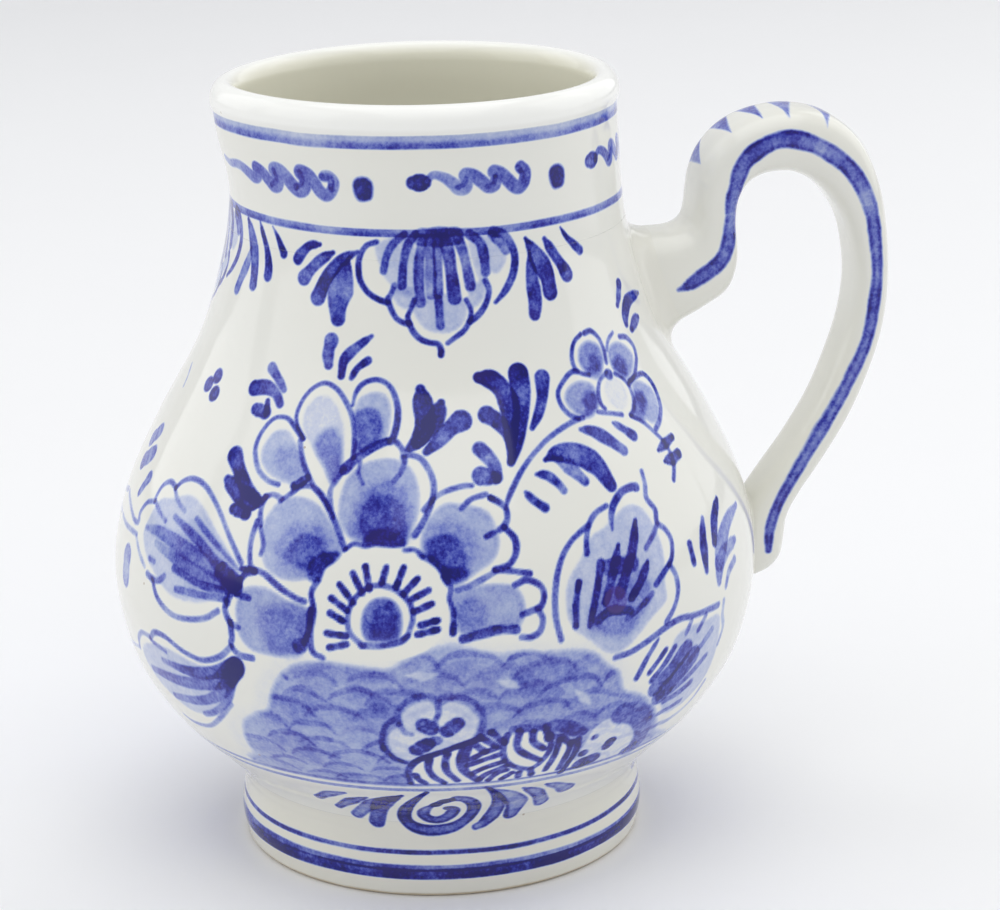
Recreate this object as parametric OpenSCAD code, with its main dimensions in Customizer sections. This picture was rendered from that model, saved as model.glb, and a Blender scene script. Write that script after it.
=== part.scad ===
// Cream jug: a pear-shaped glazed body on a foot ring, with a pouring lip and a loop handle.
// Z runs up the jug's axis from the plane it stands on. The handle is on +X, the lip on -X.

/* [Body] */
// Height from the table to the top of the rim
jug_h = 110; // [100:1:120]
// Radius of the belly at its widest
belly_r = 45.5; // [44:0.1:47]
// Thickness of the body wall
wall = 3.3; // [2.5:0.1:3.8]
// Height at which the collar is luted to the belly
collar_z = 90; // [89:0.5:91]

/* [Foot] */
// Height of the foot ring
foot_h = 11.5; // [11:0.1:12]
// Outer radius of the foot ring at its fullest
foot_r = 29; // [28.5:0.1:29.5]
// Radius of the hollow under the foot
recess_r = 24.6; // [24:0.1:25]
// Depth of the hollow under the foot
recess_h = 3.5; // [3:0.1:4]
// Thickness of the floor disc
floor_t = 3.5; // [3:0.1:4]

/* [Rim] */
// Half the thickness of the rolled rim
bead_a = 1.9; // [1.7:0.05:2.1]
// Half the height of the rolled rim
bead_b = 2.6; // [2.2:0.1:3]
// How far the pouring lip is pulled out of the round
lip_pull = 2.5; // [1.5:0.1:3.5]
// Half the angle over which the lip is pulled, in degrees
lip_spread = 34; // [25:1:45]

/* [Handle] */
// Width of the handle strap at the arch
strap_w = 12.5; // [11:0.1:13.5]
// Width of the handle strap at its lower end
strap_end_w = 9.5; // [8:0.1:11]
// Thickness of the slip that joins the handle to the body
slip_t = 0.9; // [0.6:0.1:1.2]

/* [Hidden] */
$fn = 96;

// Body outline as [radius, height] stations, from the foot corner up to below the rim.
body_line = [
    [foot_r + 0.3, foot_h],
    [foot_r + 1.9, 13.7],
    [belly_r - 12.1, 16.2],
    [belly_r - 6.6, 22],
    [belly_r - 2, 30],
    [belly_r, 41],
    [belly_r - 1.9, 51.5],
    [belly_r - 6.7, 62],
    [belly_r - 13.4, 74],
    [belly_r - 17, 85],
    [belly_r - 18.4, 93],
    [belly_r - 18.9, jug_h - 7.5]
];
body_steps = 6;

// Foot outline from its standing edge up to the corner below the belly.
foot_line = [
    [foot_r - 1.3, 0],
    [foot_r - 0.5, 0.8],
    [foot_r, 3.8],
    [foot_r - 0.5, 8.2],
    [foot_r - 0.3, 10],
    [foot_r + 0.3, foot_h]
];
foot_steps = 5;
floor_r = recess_r + 0.6;
inner_start = foot_h + 2.6;

bead_r = belly_r - 20.6;
bead_z = jug_h - bead_b;
bead_steps = 12;
lip_foot_z = jug_h - 17;
ring_n = 72;

// Handle ribs as [outer x, outer z, inner x, inner z], from the neck round to the belly.
ribs = [
    [26.5, 86.2, 29.0, 69.6],
    [31.5, 86.1, 34.5, 72.7],
    [34.8, 86.3, 38.8, 75.0],
    [36.5, 87.3, 42.2, 77.4],
    [37.1, 89.0, 43.6, 81.6],
    [37.4, 91.2, 43.3, 87.0],
    [37.9, 93.9, 43.7, 90.2],
    [39.2, 97.0, 45.0, 92.4],
    [42.2, 100.2, 47.0, 93.5],
    [46.4, 102.1, 49.3, 93.8],
    [51.6, 102.7, 51.9, 93.5],
    [57.0, 101.4, 54.8, 91.9],
    [61.4, 97.6, 57.5, 89.0],
    [64.1, 91.6, 59.4, 85.5],
    [65.3, 85.0, 60.4, 81.2],
    [65.6, 77.7, 60.7, 76.8],
    [64.9, 71.0, 60.0, 71.8],
    [63.0, 64.5, 58.3, 66.4],
    [60.0, 57.7, 55.6, 60.0],
    [56.2, 51.5, 52.0, 54.1],
    [53.0, 46.8, 48.4, 49.3],
    [51.2, 43.3, 45.5, 45.2],
    [50.8, 40.0, 43.8, 41.2],
    [50.3, 37.4, 43.2, 38.6],
    [48.9, 35.7, 43.0, 37.0],
    [46.8, 34.8, 43.0, 36.0]
];
rib_steps = 3;
section_n = 24;
section_power = 3.2;

// A point on a smooth curve through a list of points, t counting from the first point.
function spline(p, t) =
    let(
        last = len(p) - 1,
        i = min(floor(t), last - 1),
        f = t - i,
        b = p[i],
        c = p[i + 1],
        a = i > 0 ? p[i - 1] : 2 * b - c,
        d = i + 2 <= last ? p[i + 2] : 2 * c - b
    )
    b + f * (c - a) / 2 + f * f * (2 * a - 5 * b + 4 * c - d) / 2 + f * f * f * (3 * b - 3 * c + d - a) / 2;

function curve(p, steps) = [for (k = [0 : steps * (len(p) - 1)]) spline(p, k / steps)];

// The body outline between two heights, with its ends cut level.
function radius_at(line, z) =
    let(above = [for (k = [1 : len(line) - 1]) if (line[k][1] >= z) k][0], a = line[above - 1], b = line[above])
    a[0] + (b[0] - a[0]) * (z - a[1]) / (b[1] - a[1]);

function cut(line, low, high) = concat(
    [[radius_at(line, low), low]],
    [for (p = line) if (p[1] > low + 0.01 && p[1] < high - 0.01) p],
    [[radius_at(line, high), high]]
);

function reversed(p) = [for (k = [len(p) - 1 : -1 : 0]) p[k]];

body_curve = curve(body_line, body_steps);
foot_curve = curve(foot_line, foot_steps);

// The inner face of the wall: the outer curve moved in along its own normal.
inner_curve = [
    for (k = [1 : len(body_curve) - 1])
        let(d = body_curve[k] - body_curve[k - 1], m = (body_curve[k] + body_curve[k - 1]) / 2)
        m + wall * [-d[1], d[0]] / norm(d)
];

// How much of the lip's pull acts at a height, and at an angle from the lip's middle.
function lip_rise(z) =
    let(t = max(0, min(1, (z - lip_foot_z) / (bead_z - lip_foot_z))))
    t * t * (3 - 2 * t);

function lip_share(a) = exp(-pow(abs(a) / lip_spread, 1.5));

// A closed skin over a list of rings, all with the same number of points.
module skin(rings, closed) {
    n = len(rings[0]);
    m = len(rings);
    sides = [
        for (i = [0 : m - (closed ? 1 : 2)], j = [0 : n - 1])
            [i * n + j, i * n + (j + 1) % n, ((i + 1) % m) * n + (j + 1) % n, ((i + 1) % m) * n + j]
    ];
    ends = closed ? [] : [[for (j = [n - 1 : -1 : 0]) j], [for (j = [0 : n - 1]) (m - 1) * n + j]];
    polyhedron([for (r = rings, p = r) p], concat(sides, ends), 4);
}

// The solid that fills the body's outside, grown evenly by a small amount.
module body_core(grow) {
    low = cut(body_curve, foot_h, collar_z);
    rotate_extrude()
        polygon(concat([[0, foot_h]], [for (p = low) [p[0] + grow, p[1]]], [[0, collar_z]]));
}

module foot_ring() {
    color("antiquewhite")
        rotate_extrude()
            polygon(concat(
                foot_curve,
                [[floor_r, foot_h], [floor_r, recess_h], [recess_r, recess_h], [recess_r, 0]]
            ));
}

module base_disc() {
    color("linen")
        translate([0, 0, recess_h])
            cylinder(h = floor_t, r = floor_r);
}

module belly() {
    outer = cut(body_curve, foot_h, collar_z);
    inner = cut(inner_curve, inner_start, collar_z);
    color("ivory")
        rotate_extrude()
            polygon(concat(outer, reversed(inner), [[floor_r, foot_h]]));
}

module collar() {
    outer = cut(body_curve, collar_z, jug_h - 7.6);
    inner = cut(inner_curve, collar_z, jug_h - 9);
    bead = [
        for (k = [0 : bead_steps])
            let(a = -35 + 250 * k / bead_steps)
            [bead_r + bead_a * cos(a), bead_z + bead_b * sin(a)]
    ];
    outline = concat(outer, bead, reversed(inner));
    rings = [
        for (i = [0 : ring_n - 1])
            let(a = 360 * i / ring_n, away = a - 180)
            [
                for (p = outline)
                    let(r = p[0] + lip_pull * lip_rise(p[1]) * lip_share(away))
                    [r * cos(a), r * sin(a), p[1]]
            ]
    ];
    color("whitesmoke")
        skin(rings, true);
}

// A rounded, nearly rectangular section drawn between two points of the handle's side view.
function rib_ring(rib, w) =
    let(
        mid = [(rib[0] + rib[2]) / 2, (rib[1] + rib[3]) / 2],
        half = [(rib[0] - rib[2]) / 2, (rib[1] - rib[3]) / 2],
        e = 2 / section_power
    )
    [
        for (k = [0 : section_n - 1])
            let(
                a = 360 * k / section_n,
                c = sign(cos(a)) * pow(abs(cos(a)), e),
                s = sign(sin(a)) * pow(abs(sin(a)), e)
            )
            [mid[0] + half[0] * c, w / 2 * s, mid[1] + half[1] * c]
    ];

module strap() {
    line = curve(ribs, rib_steps);
    last = len(line) - 1;
    skin([
        for (k = [0 : last])
            rib_ring(line[k], strap_w - (strap_w - strap_end_w) * pow(k / last, 3))
    ], false);
}

module handle() {
    color("ghostwhite")
        difference() {
            strap();
            body_core(slip_t);
        }
}

// A pad of slip between the body's face and a handle root, with round ends.
module lute(low, high, w) {
    intersection() {
        difference() {
            body_core(slip_t);
            body_core(0);
        }
        union() {
            for (z = [low + w / 2, high - w / 2])
                translate([0, 0, z])
                    rotate([0, 90, 0])
                        cylinder(h = foot_r * 2, d = w);
            translate([0, -w / 2, low + w / 2])
                cube([foot_r * 2, w, high - low - w]);
        }
    }
}

module upper_lute() {
    color("seashell")
        lute(70.6, 87.6, strap_w + 1.5);
}

module lower_lute() {
    color("mistyrose")
        lute(33.8, 48.6, strap_end_w + 3.2);
}

foot_ring();
base_disc();
belly();
collar();
handle();
upper_lute();
lower_lute();
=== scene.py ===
"""The looks of a hand-painted porcelain cream jug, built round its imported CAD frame."""
import math

import bpy
import numpy as np
from mathutils import Matrix, Vector


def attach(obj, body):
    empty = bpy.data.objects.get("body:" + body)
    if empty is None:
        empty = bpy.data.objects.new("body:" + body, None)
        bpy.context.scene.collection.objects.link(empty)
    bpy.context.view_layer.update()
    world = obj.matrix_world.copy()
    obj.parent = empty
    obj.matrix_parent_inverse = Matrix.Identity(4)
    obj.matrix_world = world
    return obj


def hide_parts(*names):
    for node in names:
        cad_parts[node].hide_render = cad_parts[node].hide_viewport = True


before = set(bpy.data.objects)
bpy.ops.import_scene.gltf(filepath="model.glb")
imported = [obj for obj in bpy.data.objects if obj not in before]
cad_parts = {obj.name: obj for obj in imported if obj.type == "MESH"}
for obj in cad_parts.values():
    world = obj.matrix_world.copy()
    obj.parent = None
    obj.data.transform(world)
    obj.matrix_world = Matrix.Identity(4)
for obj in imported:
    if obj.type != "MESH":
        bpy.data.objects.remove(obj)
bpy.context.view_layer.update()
MM = 0.001


# ---------------------------------------------------------------------------------------------
# The painting. It is drawn on a chart of the body: x runs round the jug from the side that faces
# the camera, v runs up the outside from the widest part, and both are in millimetres of the belly
# at its widest, so that a shape keeps its angles wherever it is put.
# ---------------------------------------------------------------------------------------------
BELLY_R = 45.5
PERIOD = 2 * math.pi * BELLY_R
SOFT = 0.19          # how far a painted edge bleeds, in chart millimetres at the belly
THIN, FULL = 0.93, 1.24        # how much a thin line shrinks and a broad mark swells as it is brushed
WAVER = 0.07         # how much the width of a stroke wavers along it
LOAD_SWING = 0.24    # how much the load of ink rises and falls along a stroke
COVER = 0.55         # how much of its strength a mark loses where the ink is already full
STROKE_STEPS, PATCH_STEPS = 6, 4          # steps between the points of a stroke and of a filled patch
POOL = 0.42          # how far in from a stroke's edge the pooled line of ink lies


def smooth_curve(points, steps):
    """Points along a Catmull-Rom curve through the given points."""
    p = np.asarray(points, float)
    if len(p) == 2:
        return p[0] + (p[1] - p[0]) * np.linspace(0, 1, steps + 1)[:, None]
    ends = np.vstack([2 * p[0] - p[1], p, 2 * p[-1] - p[-2]])
    out = []
    for a, b, c, d in zip(ends, ends[1:], ends[2:], ends[3:]):
        t = np.arange(steps)[:, None] / steps
        out.append(b + t * (c - a) / 2 + t * t * (2 * a - 5 * b + 4 * c - d) / 2
                   + t ** 3 * (3 * b - 3 * c + d - a) / 2)
    out.append(p[-1:])
    return np.vstack(out)


def ease(t):
    """A smooth step from 0 to 1."""
    t = np.clip(t, 0, 1)
    return t * t * (3 - 2 * t)


def pairs(numbers):
    """A flat run of numbers as a table of x, v points."""
    return np.asarray(numbers, float).reshape(-1, 2)


def depth_inside(outline, gx, gv):
    """How far inside a closed outline each point lies, negative outside."""
    far = np.full(gx.shape, 99.0)
    odd = np.zeros(gx.shape, bool)
    for a, b in zip(outline, np.roll(outline, -1, 0)):
        d = b - a
        t = np.clip(((gx - a[0]) * d[0] + (gv - a[1]) * d[1]) / max(d @ d, 1e-9), 0, 1)
        far = np.minimum(far, np.hypot(gx - a[0] - d[0] * t, gv - a[1] - d[1] * t))
        if a[1] != b[1]:
            crosses = (gv > min(a[1], b[1])) & (gv <= max(a[1], b[1]))
            odd ^= crosses & (gx < a[0] + (gv - a[1]) * d[0] / d[1])
    return np.where(odd, far, -far)


class Chart:
    """Ink and violet tint on a grid of chart points; every mark wraps round the jug."""

    def __init__(self, x, v, spread):
        self.x, self.v, self.spread = x, v, spread
        self.ink = np.zeros((len(v), len(x)))
        self.violet = np.zeros((len(v), len(x)))
        self.dx, self.dv, self.flip, self.size, self.turn = 0.0, 0.0, 1, 1.0, 0.0
        self.pivot = np.zeros(2)
        self.mask = None
        self.strength = 1.0

    def place(self, dx=0.0, dv=0.0, flip=1, size=1.0, turn=0.0, pivot=(0, 0), strength=1.0):
        """Moves, mirrors, scales and turns whatever is drawn next."""
        self.dx, self.dv, self.flip, self.size = dx, dv, flip, size
        self.turn, self.pivot, self.strength = math.radians(turn), np.array(pivot, float), strength

    def put(self, numbers):
        """Points where the motif being drawn now lies."""
        p = (pairs(numbers) - self.pivot) * self.size
        p[:, 0] *= self.flip
        c, s = math.cos(self.turn), math.sin(self.turn)
        p = np.stack([c * p[:, 0] - s * p[:, 1], s * p[:, 0] + c * p[:, 1]], 1)
        return p + self.pivot + (self.dx, self.dv)

    def windows(self, low, high):
        """The parts of the grid that a mark between two corners can reach, with the shift of each."""
        rows = slice(*np.searchsorted(self.v, [low[1], high[1]]))
        for shift in (-PERIOD, 0, PERIOD):
            cols = slice(*np.searchsorted(self.x, [low[0] + shift, high[0] + shift]))
            if rows.stop > rows.start and cols.stop > cols.start:
                gx, gv = np.meshgrid(self.x[cols] - shift, self.v[rows])
                yield rows, cols, gx, gv, self.spread[rows][:, None]

    def add(self, rows, cols, share, ink, violet=0.0):
        """Lays ink over what is there; the darker that is, the less it gains."""
        if self.mask is not None:
            share = share * self.mask[rows, cols]
        room = 1 - COVER * np.minimum(self.ink[rows, cols], 1)
        self.ink[rows, cols] += share * ink * self.strength * room
        self.violet[rows, cols] = np.maximum(self.violet[rows, cols], share * violet)

    def line(self, width, ink, *numbers, ends=(0.0, 0.0), violet=0.0, edge=0.12):
        """A brush stroke: widths are spread evenly along it, ends say how much ink pools there."""
        p = smooth_curve(self.put(numbers), STROKE_STEPS)
        widths = np.atleast_1d(np.asarray(width, float))
        widths = widths * self.size * (THIN + (FULL - THIN) * ease((widths.max() - 1) / 1.4))
        along = np.linspace(0, 1, len(p))
        half = np.interp(along, np.linspace(0, 1, len(widths)), widths) / 2
        if len(widths) > 1 and widths[0] < widths.max():
            half *= 0.55 + 0.45 * ease(along * 5)
        half *= 1 + WAVER * np.sin(along * 9 + p[0, 0] * 3)
        reach = half.max() + 2.5 * SOFT
        for rows, cols, gx, gv, spread in self.windows(p.min(0) - reach, p.max(0) + reach):
            depth = np.full(gx.shape, -9.0)
            where = np.zeros(gx.shape)
            for a, b, ha, hb, ta, tb in zip(p, p[1:], half, half[1:], along, along[1:]):
                d = b - a
                t = np.clip(((gx - a[0]) * d[0] + (gv - a[1]) * d[1]) / max(d @ d, 1e-9), 0, 1)
                inside = ha + (hb - ha) * t - np.hypot(gx - a[0] - d[0] * t, gv - a[1] - d[1] * t)
                better = inside > depth
                depth = np.where(better, inside, depth)
                where = np.where(better, ta + (tb - ta) * t, where)
            share = ease(0.5 + depth / (2 * SOFT * spread))
            pooled = 1 - edge * 0.5 + edge * np.exp(-((depth - POOL * 0.8) / POOL) ** 2)
            load = 1 + LOAD_SWING * np.sin(where * 9 + p[0, 0] * 5) * np.cos(where * 4 + p[0, 1])
            tips = load + ends[0] * ease(1 - where * 4) + ends[1] * ease(where * 4 - 3)
            self.add(rows, cols, share * pooled * tips, ink, violet)

    def lines(self, width, ink, *strokes, **more):
        """Several strokes with the same brush and ink."""
        for numbers in strokes:
            self.line(width, ink, *numbers, **more)

    def wash(self, ink, *numbers, soft=0.5, violet=0.0, edge=0.12):
        """A filled patch of thinned ink, a little darker where it dried at its edge."""
        p = self.put(numbers)
        outline = smooth_curve(np.vstack([p[-1:], p, p[:2]]), PATCH_STEPS)[PATCH_STEPS:-PATCH_STEPS]
        reach = soft * 2 + 1
        low, high = outline.min(0) - reach, outline.max(0) + reach
        for rows, cols, gx, gv, spread in self.windows(low, high):
            depth = depth_inside(outline, gx, gv)
            share = ease(0.5 + depth / (2 * soft * spread))
            dried = 1 + edge * np.exp(-((depth - 0.5) / 0.5) ** 2)
            self.add(rows, cols, share * dried, ink, violet)

    def lift(self, *numbers, soft=0.3, left=0.0):
        """Bare glaze inside an outline: the ink under it is taken away."""
        outline = smooth_curve(self.put(numbers + numbers[:2]), PATCH_STEPS)[:-1]
        for rows, cols, gx, gv, _ in self.windows(outline.min(0) - 1, outline.max(0) + 1):
            share = ease(0.5 + depth_inside(outline, gx, gv) / (2 * soft))
            self.ink[rows, cols] *= 1 - share * (1 - left)

    def clip(self, *numbers):
        """Keeps what is drawn next inside an outline; with no outline, the whole chart is open."""
        self.mask = None
        if numbers:
            outline = smooth_curve(self.put(numbers + numbers[:2]), PATCH_STEPS)[:-1]
            self.mask = np.zeros(self.ink.shape)
            for rows, cols, gx, gv, _ in self.windows(outline.min(0) - 1, outline.max(0) + 1):
                self.mask[rows, cols] = ease(0.5 + depth_inside(outline, gx, gv) / 1.2)

    def dot(self, radius, ink, x, v, **more):
        self.line(radius * 2, ink, x, v, x + 0.02, v, **more)

    def ring(self, v, width, ink, seed, low_edge=0.0, top_edge=0.0):
        """A banding line drawn on the wheel, with the slow drift and uneven load of a brush."""
        rng = np.random.default_rng(seed)
        angle = self.x / BELLY_R
        drift = np.zeros(len(self.x))
        load = np.ones(len(self.x))
        for n in range(1, 26):
            a, b, c, d = rng.uniform(-1, 1, 4)
            drift += 0.16 / n * (a * np.sin(n * angle) + b * np.cos(n * angle))
            load += 0.15 / n ** 0.5 * (c * np.sin(n * angle) + d * np.cos(n * angle))
        off = self.v[:, None] - v - drift[None, :]
        depth = width / 2 - np.abs(off)
        share = ease(0.5 + depth / (2 * SOFT))
        side = off / width
        tone = 1 + low_edge * ease(0.5 - side * 2) + top_edge * ease(0.5 + side * 2)
        self.ink += share * tone * ink * np.clip(load, 0.6, 1.4)[None, :]


def palmette(p):
    """The shell-shaped flower that hangs from the neck line."""
    p.wash(.18, -11, 71, -10.5, 66, -8, 62, -3, 60, -3, 72)
    p.wash(.18, 9, 72, 15, 71, 17.3, 68, 17, 65.5, 15, 63.5, 13, 64, 11, 62)
    p.wash(.2, -3, 59, -3, 56, -1, 53, 2.5, 52, 5.5, 52.6, 7.5, 55, 7.5, 58, 4, 60)
    p.wash(.2, -7.6, 61.5, -7, 58.5, -5, 57, -3, 58, -3, 61)
    p.wash(.2, 8.5, 61, 9, 57, 11.5, 58.5, 11.8, 62)
    p.line(1.3, .8, -11.2, 71.2, -13.5, 70.3, -15, 67.8, -15.2, 65, -14.6, 62.5, -12.8, 60.2,
           -10.5, 58.9, -8.6, 58.3)
    p.line(1.2, .8, -8.6, 59.3, -8, 57.3, -6.8, 55.2, -5.2, 54.2, -4, 54)
    p.line(1.2, .5, -8.6, 58.8, -7.8, 60.5, -7.2, 62)
    p.line(1.2, .8, -4.2, 54.2, -3.2, 52.3, -1.8, 50.9, 0, 50.2, 1.5, 49.9, 2.1, 48.8, 2.1, 47.7,
           ends=(0, .3))
    p.line(1.1, .7, -4.2, 54.5, -4.4, 55.5, -3.8, 57, -3, 59)
    p.line(1.1, .75, 3.5, 50, 5, 51, 7, 52.4, 8.3, 54.5, 8.6, 56.5, 7.8, 58.5)
    p.line(1.3, .75, 8.3, 54, 10.5, 55.6, 12.2, 58, 12.8, 60.3, 12.2, 62.2)
    p.line((1.4, 1.4, 2), .75, 14, 57.5, 16.5, 59.8, 18.6, 63, 19.4, 66.5, 18.7, 69.5, 17, 71.8,
           14.8, 72.6)
    p.line(1.8, .55, 14.3, 72, 16, 70.3, 17.4, 68.3)
    p.line(1.6, .62, -5, 73, -7.5, 70.8, -9, 68, -9.6, 65)
    p.line(1.7, .66, -2.6, 73, -4.3, 70.5, -5.3, 66.5, -5.6, 62)
    p.line(1.9, .66, -1, 72, -1.9, 67, -2, 62, -1.7, 58.3)
    p.line(2, .5, .5, 72, .5, 60)
    p.line(1.8, .62, 2.2, 72, 2, 60)
    p.line(1.6, .6, 2, 59, 2.2, 53.5)
    p.line(2.2, .75, 4, 72, 4.8, 66, 5.4, 59)
    p.line(1.9, .66, 6.2, 73, 7.6, 69, 8.4, 65, 8.9, 61.3)
    p.line(1.9, .7, 9.3, 72.5, 11.5, 70.5, 12.3, 67.5, 12.4, 64)
    p.line(3.4, .6, -1, 72.3, 6, 72.3)


def neck_leaves_left(p):
    """The leaves that hang to the left of a palmette."""
    p.line((1.4, 2.9), .8, -15.5, 68.8, -19, 67, -22.5, 63, -24.3, 58.5, ends=(.2, .1))
    p.line((1, 4.6, 2.5), .66, -17.5, 67.5, -18.6, 63, -19.5, 58, -19.2, 54.5, ends=(.4, .25))
    p.line((1.6, 2.6), .75, -21.3, 68.3, -24.5, 66.3, -27, 63.8, -28.3, 62.2)
    p.line((1.3, 2.3), .85, -24.7, 69.8, -27.3, 69.3, -29.5, 67.3, -30.4, 66)


def neck_leaves_right(p):
    """The leaves that hang to the right of a palmette."""
    p.line((1.2, 3.6, 2.8), .78, 22.3, 70.3, 24.5, 66.5, 26.7, 62, 27, 58, ends=(.3, .1))
    p.line((.8, 3, 2), .74, 23, 67.5, 23, 62, 23, 57, 22.4, 54)
    p.line((1.6, 2.6), .85, 27.2, 69.5, 29.3, 66, 31.3, 62.8, 32.2, 60.9)
    p.line((.6, 2), .9, 32, 71.3, 33.5, 69, 35.5, 67, 37.3, 65.3)


def neck_leaves_far(p):
    """The leaves that hang on the far side of the next palmette."""
    p.line((.5, 2), .85, -38.8, 72, -37, 70, -35.5, 67.8, -34.7, 66.6)
    p.line((.8, 2.3), .8, -43.6, 72.3, -42.3, 70, -40.3, 66.5, -39.2, 63, -39.1, 61.1)
    p.line((1.6, 2.7, 2.2), .66, -49, 72, -47.2, 69.5, -45.4, 66, -44.2, 62, -43.8, 58.3, ends=(.4, 0))
    p.line((1, 2.4, 1.8), .5, -46.5, 66, -47.5, 62.5, -49.3, 58.5, -50.2, 56)


def small_strokes(p):
    """Loose commas, dots and little sprays round the big flower."""
    p.line((2.4, 1.6), .66, -20.2, 50, -20.6, 47.5, -20.2, 45.2, ends=(0, .3))
    p.line((1.3, 1.9, 1.3), .78, -11.7, 51.4, -14.5, 49.2, -17, 46.5, -17.3, 43.3, ends=(0, .3))
    p.line((1.5, 1.1), .9, -12.2, 46.6, -14.2, 45, -15.2, 43.1)
    p.line((1.9, 1.2), .6, -33, 43, -30.8, 41.2, -28.9, 39.4)
    p.line((2.6, 1.2), .72, -36, 38.6, -33, 39.2, -30.5, 38.4, -28.9, 36.7)
    p.line(2, .7, -34, 35, -31.6, 34.7)
    p.line(1.2, .9, -31.9, 36.8, -31.3, 34.6)
    p.line((2.4, 1.6), .9, -35, 26.5, -33, 24.3, -30.5, 21.8, -27.8, 20.3)
    p.line((2, 2.6), .9, -35, 22.6, -32, 21, -29, 20.2)
    p.line(1.7, .95, -32, 18.5, -29.6, 18.2)
    for x, v in ((-50, 36.3), (-48, 38.4), (-46.7, 35.2)):
        p.dot(1.15, .85, x, v)


def top_petals(p):
    """The three petals behind the big flower, seen against the shoulder."""
    p.wash(.2, -29.8, 29, -28.3, 31.8, -25.8, 32.3, -23.3, 30, -21, 27, -20.3, 24.8, -22, 23.7,
           -26.5, 24.5, -29.2, 26.5)
    p.wash(.17, -27, 29, -25.3, 30, -23, 29.5, -21, 26.5, -20.3, 24.8, -24, 24.5, -26.5, 26.5, soft=.9)
    p.line(.9, .6, -22.5, 31.3, -24.7, 33.2, -26.7, 34.5, -29.3, 34, -31, 31.3, -31.2, 28.3, -29.5, 25.3,
           -27.2, 23.8, -25, 23.4)
    p.line(1.3, .8, -22.2, 23.6, -20.2, 25)
    p.wash(.13, -23.5, 36, -22, 38.8, -19.5, 39.5, -17, 37.5, -15.2, 33.5, -14.8, 29, -15.3, 25,
           -16.3, 24.5, -18, 27, -20.5, 30, -23, 33)
    p.wash(.33, -20.1, 30.3, -19, 33, -17, 33.6, -15.5, 31.5, -14.8, 27.5, -15.6, 24.3, -17.5, 27,
           soft=.6)
    p.wash(.15, -17, 29, -15.3, 29, -15, 25.5, -15.8, 24.5, -17, 27, soft=.8, violet=.5)
    p.line((.85, 1.05), .66, -22.3, 31.3, -24.6, 34.2, -24.7, 37, -23.2, 40, -20.5, 41.7, -17.8, 40.8,
           -15.5, 38.3, -14, 35.5, -13.3, 32.5, -13, 29)
    p.line(.9, .55, -23, 31, -21.5, 27.5, -19, 24, -16.5, 21.5, -14.5, 18.5, -12.8, 15)
    p.wash(.25, -13.9, 37, -13.2, 39.3, -11, 40.6, -8.5, 40.3, -7.3, 37.5, -7.6, 33, -9, 31.5, -12.5, 30,
           -13, 33)
    p.wash(.4, -13.7, 36.3, -12.5, 37.4, -10.2, 37.7, -8.7, 36, -8.8, 32.5, -10.5, 31, -12.3, 29.5,
           -13, 33, soft=.42)
    p.line((1, 1.2), .72, -14.4, 38, -14, 40.5, -12.6, 42.3, -10, 43, -7.7, 41.8, -6.3, 39, -6, 36,
           -6.5, 33, -7, 31.8)


def centre_petal(p):
    """The dark petal that stands over the heart of the big flower."""
    p.wash(.28, -14.3, 20, -14, 24.5, -12, 27.5, -9, 28.8, -6, 28.9, -3.5, 27.3, -2.2, 23.5, -2.8, 19.5,
           -5, 17, -9, 16.3, -12.5, 17)
    p.wash(.25, -12.5, 19, -11, 23, -8, 25.5, -5, 24.5, -3.2, 21, -3.8, 16.5, -11, 16.3, soft=1.2)
    p.wash(.38, -11, 20.5, -9.5, 22.8, -7, 23.2, -4.8, 22, -3.9, 19.5, -4.2, 16.5, -10, 16.3, soft=.5)
    p.wash(.5, -10, 16.6, -8.5, 18.1, -6, 18.2, -4.3, 17, -4.5, 15.9, -9.8, 15.8, soft=.4)
    p.line((1.6, 1.3), .75, -14.2, 27, -12.5, 28.8, -10, 30.8, -7.5, 32)
    p.line(1, .62, -6, 31.8, -5, 30.5, -4.6, 28.5)
    p.line(.9, .5, -14.2, 27, -15.8, 24.3, -16, 22.5, -15.2, 19.5)
    p.line(1, .62, -4.8, 29.3, -3.5, 29.6, -1.8, 28.8, -.4, 26.5, 0, 24, -.6, 21.5, -1.8, 19, -2.9, 17.3)
    p.line(.7, .45, -11.8, 28.3, -11.9, 26.5, -11, 24.8)
    p.line(.9, .45, -4.6, 28.5, -5, 27, -6.2, 25.3)


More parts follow.
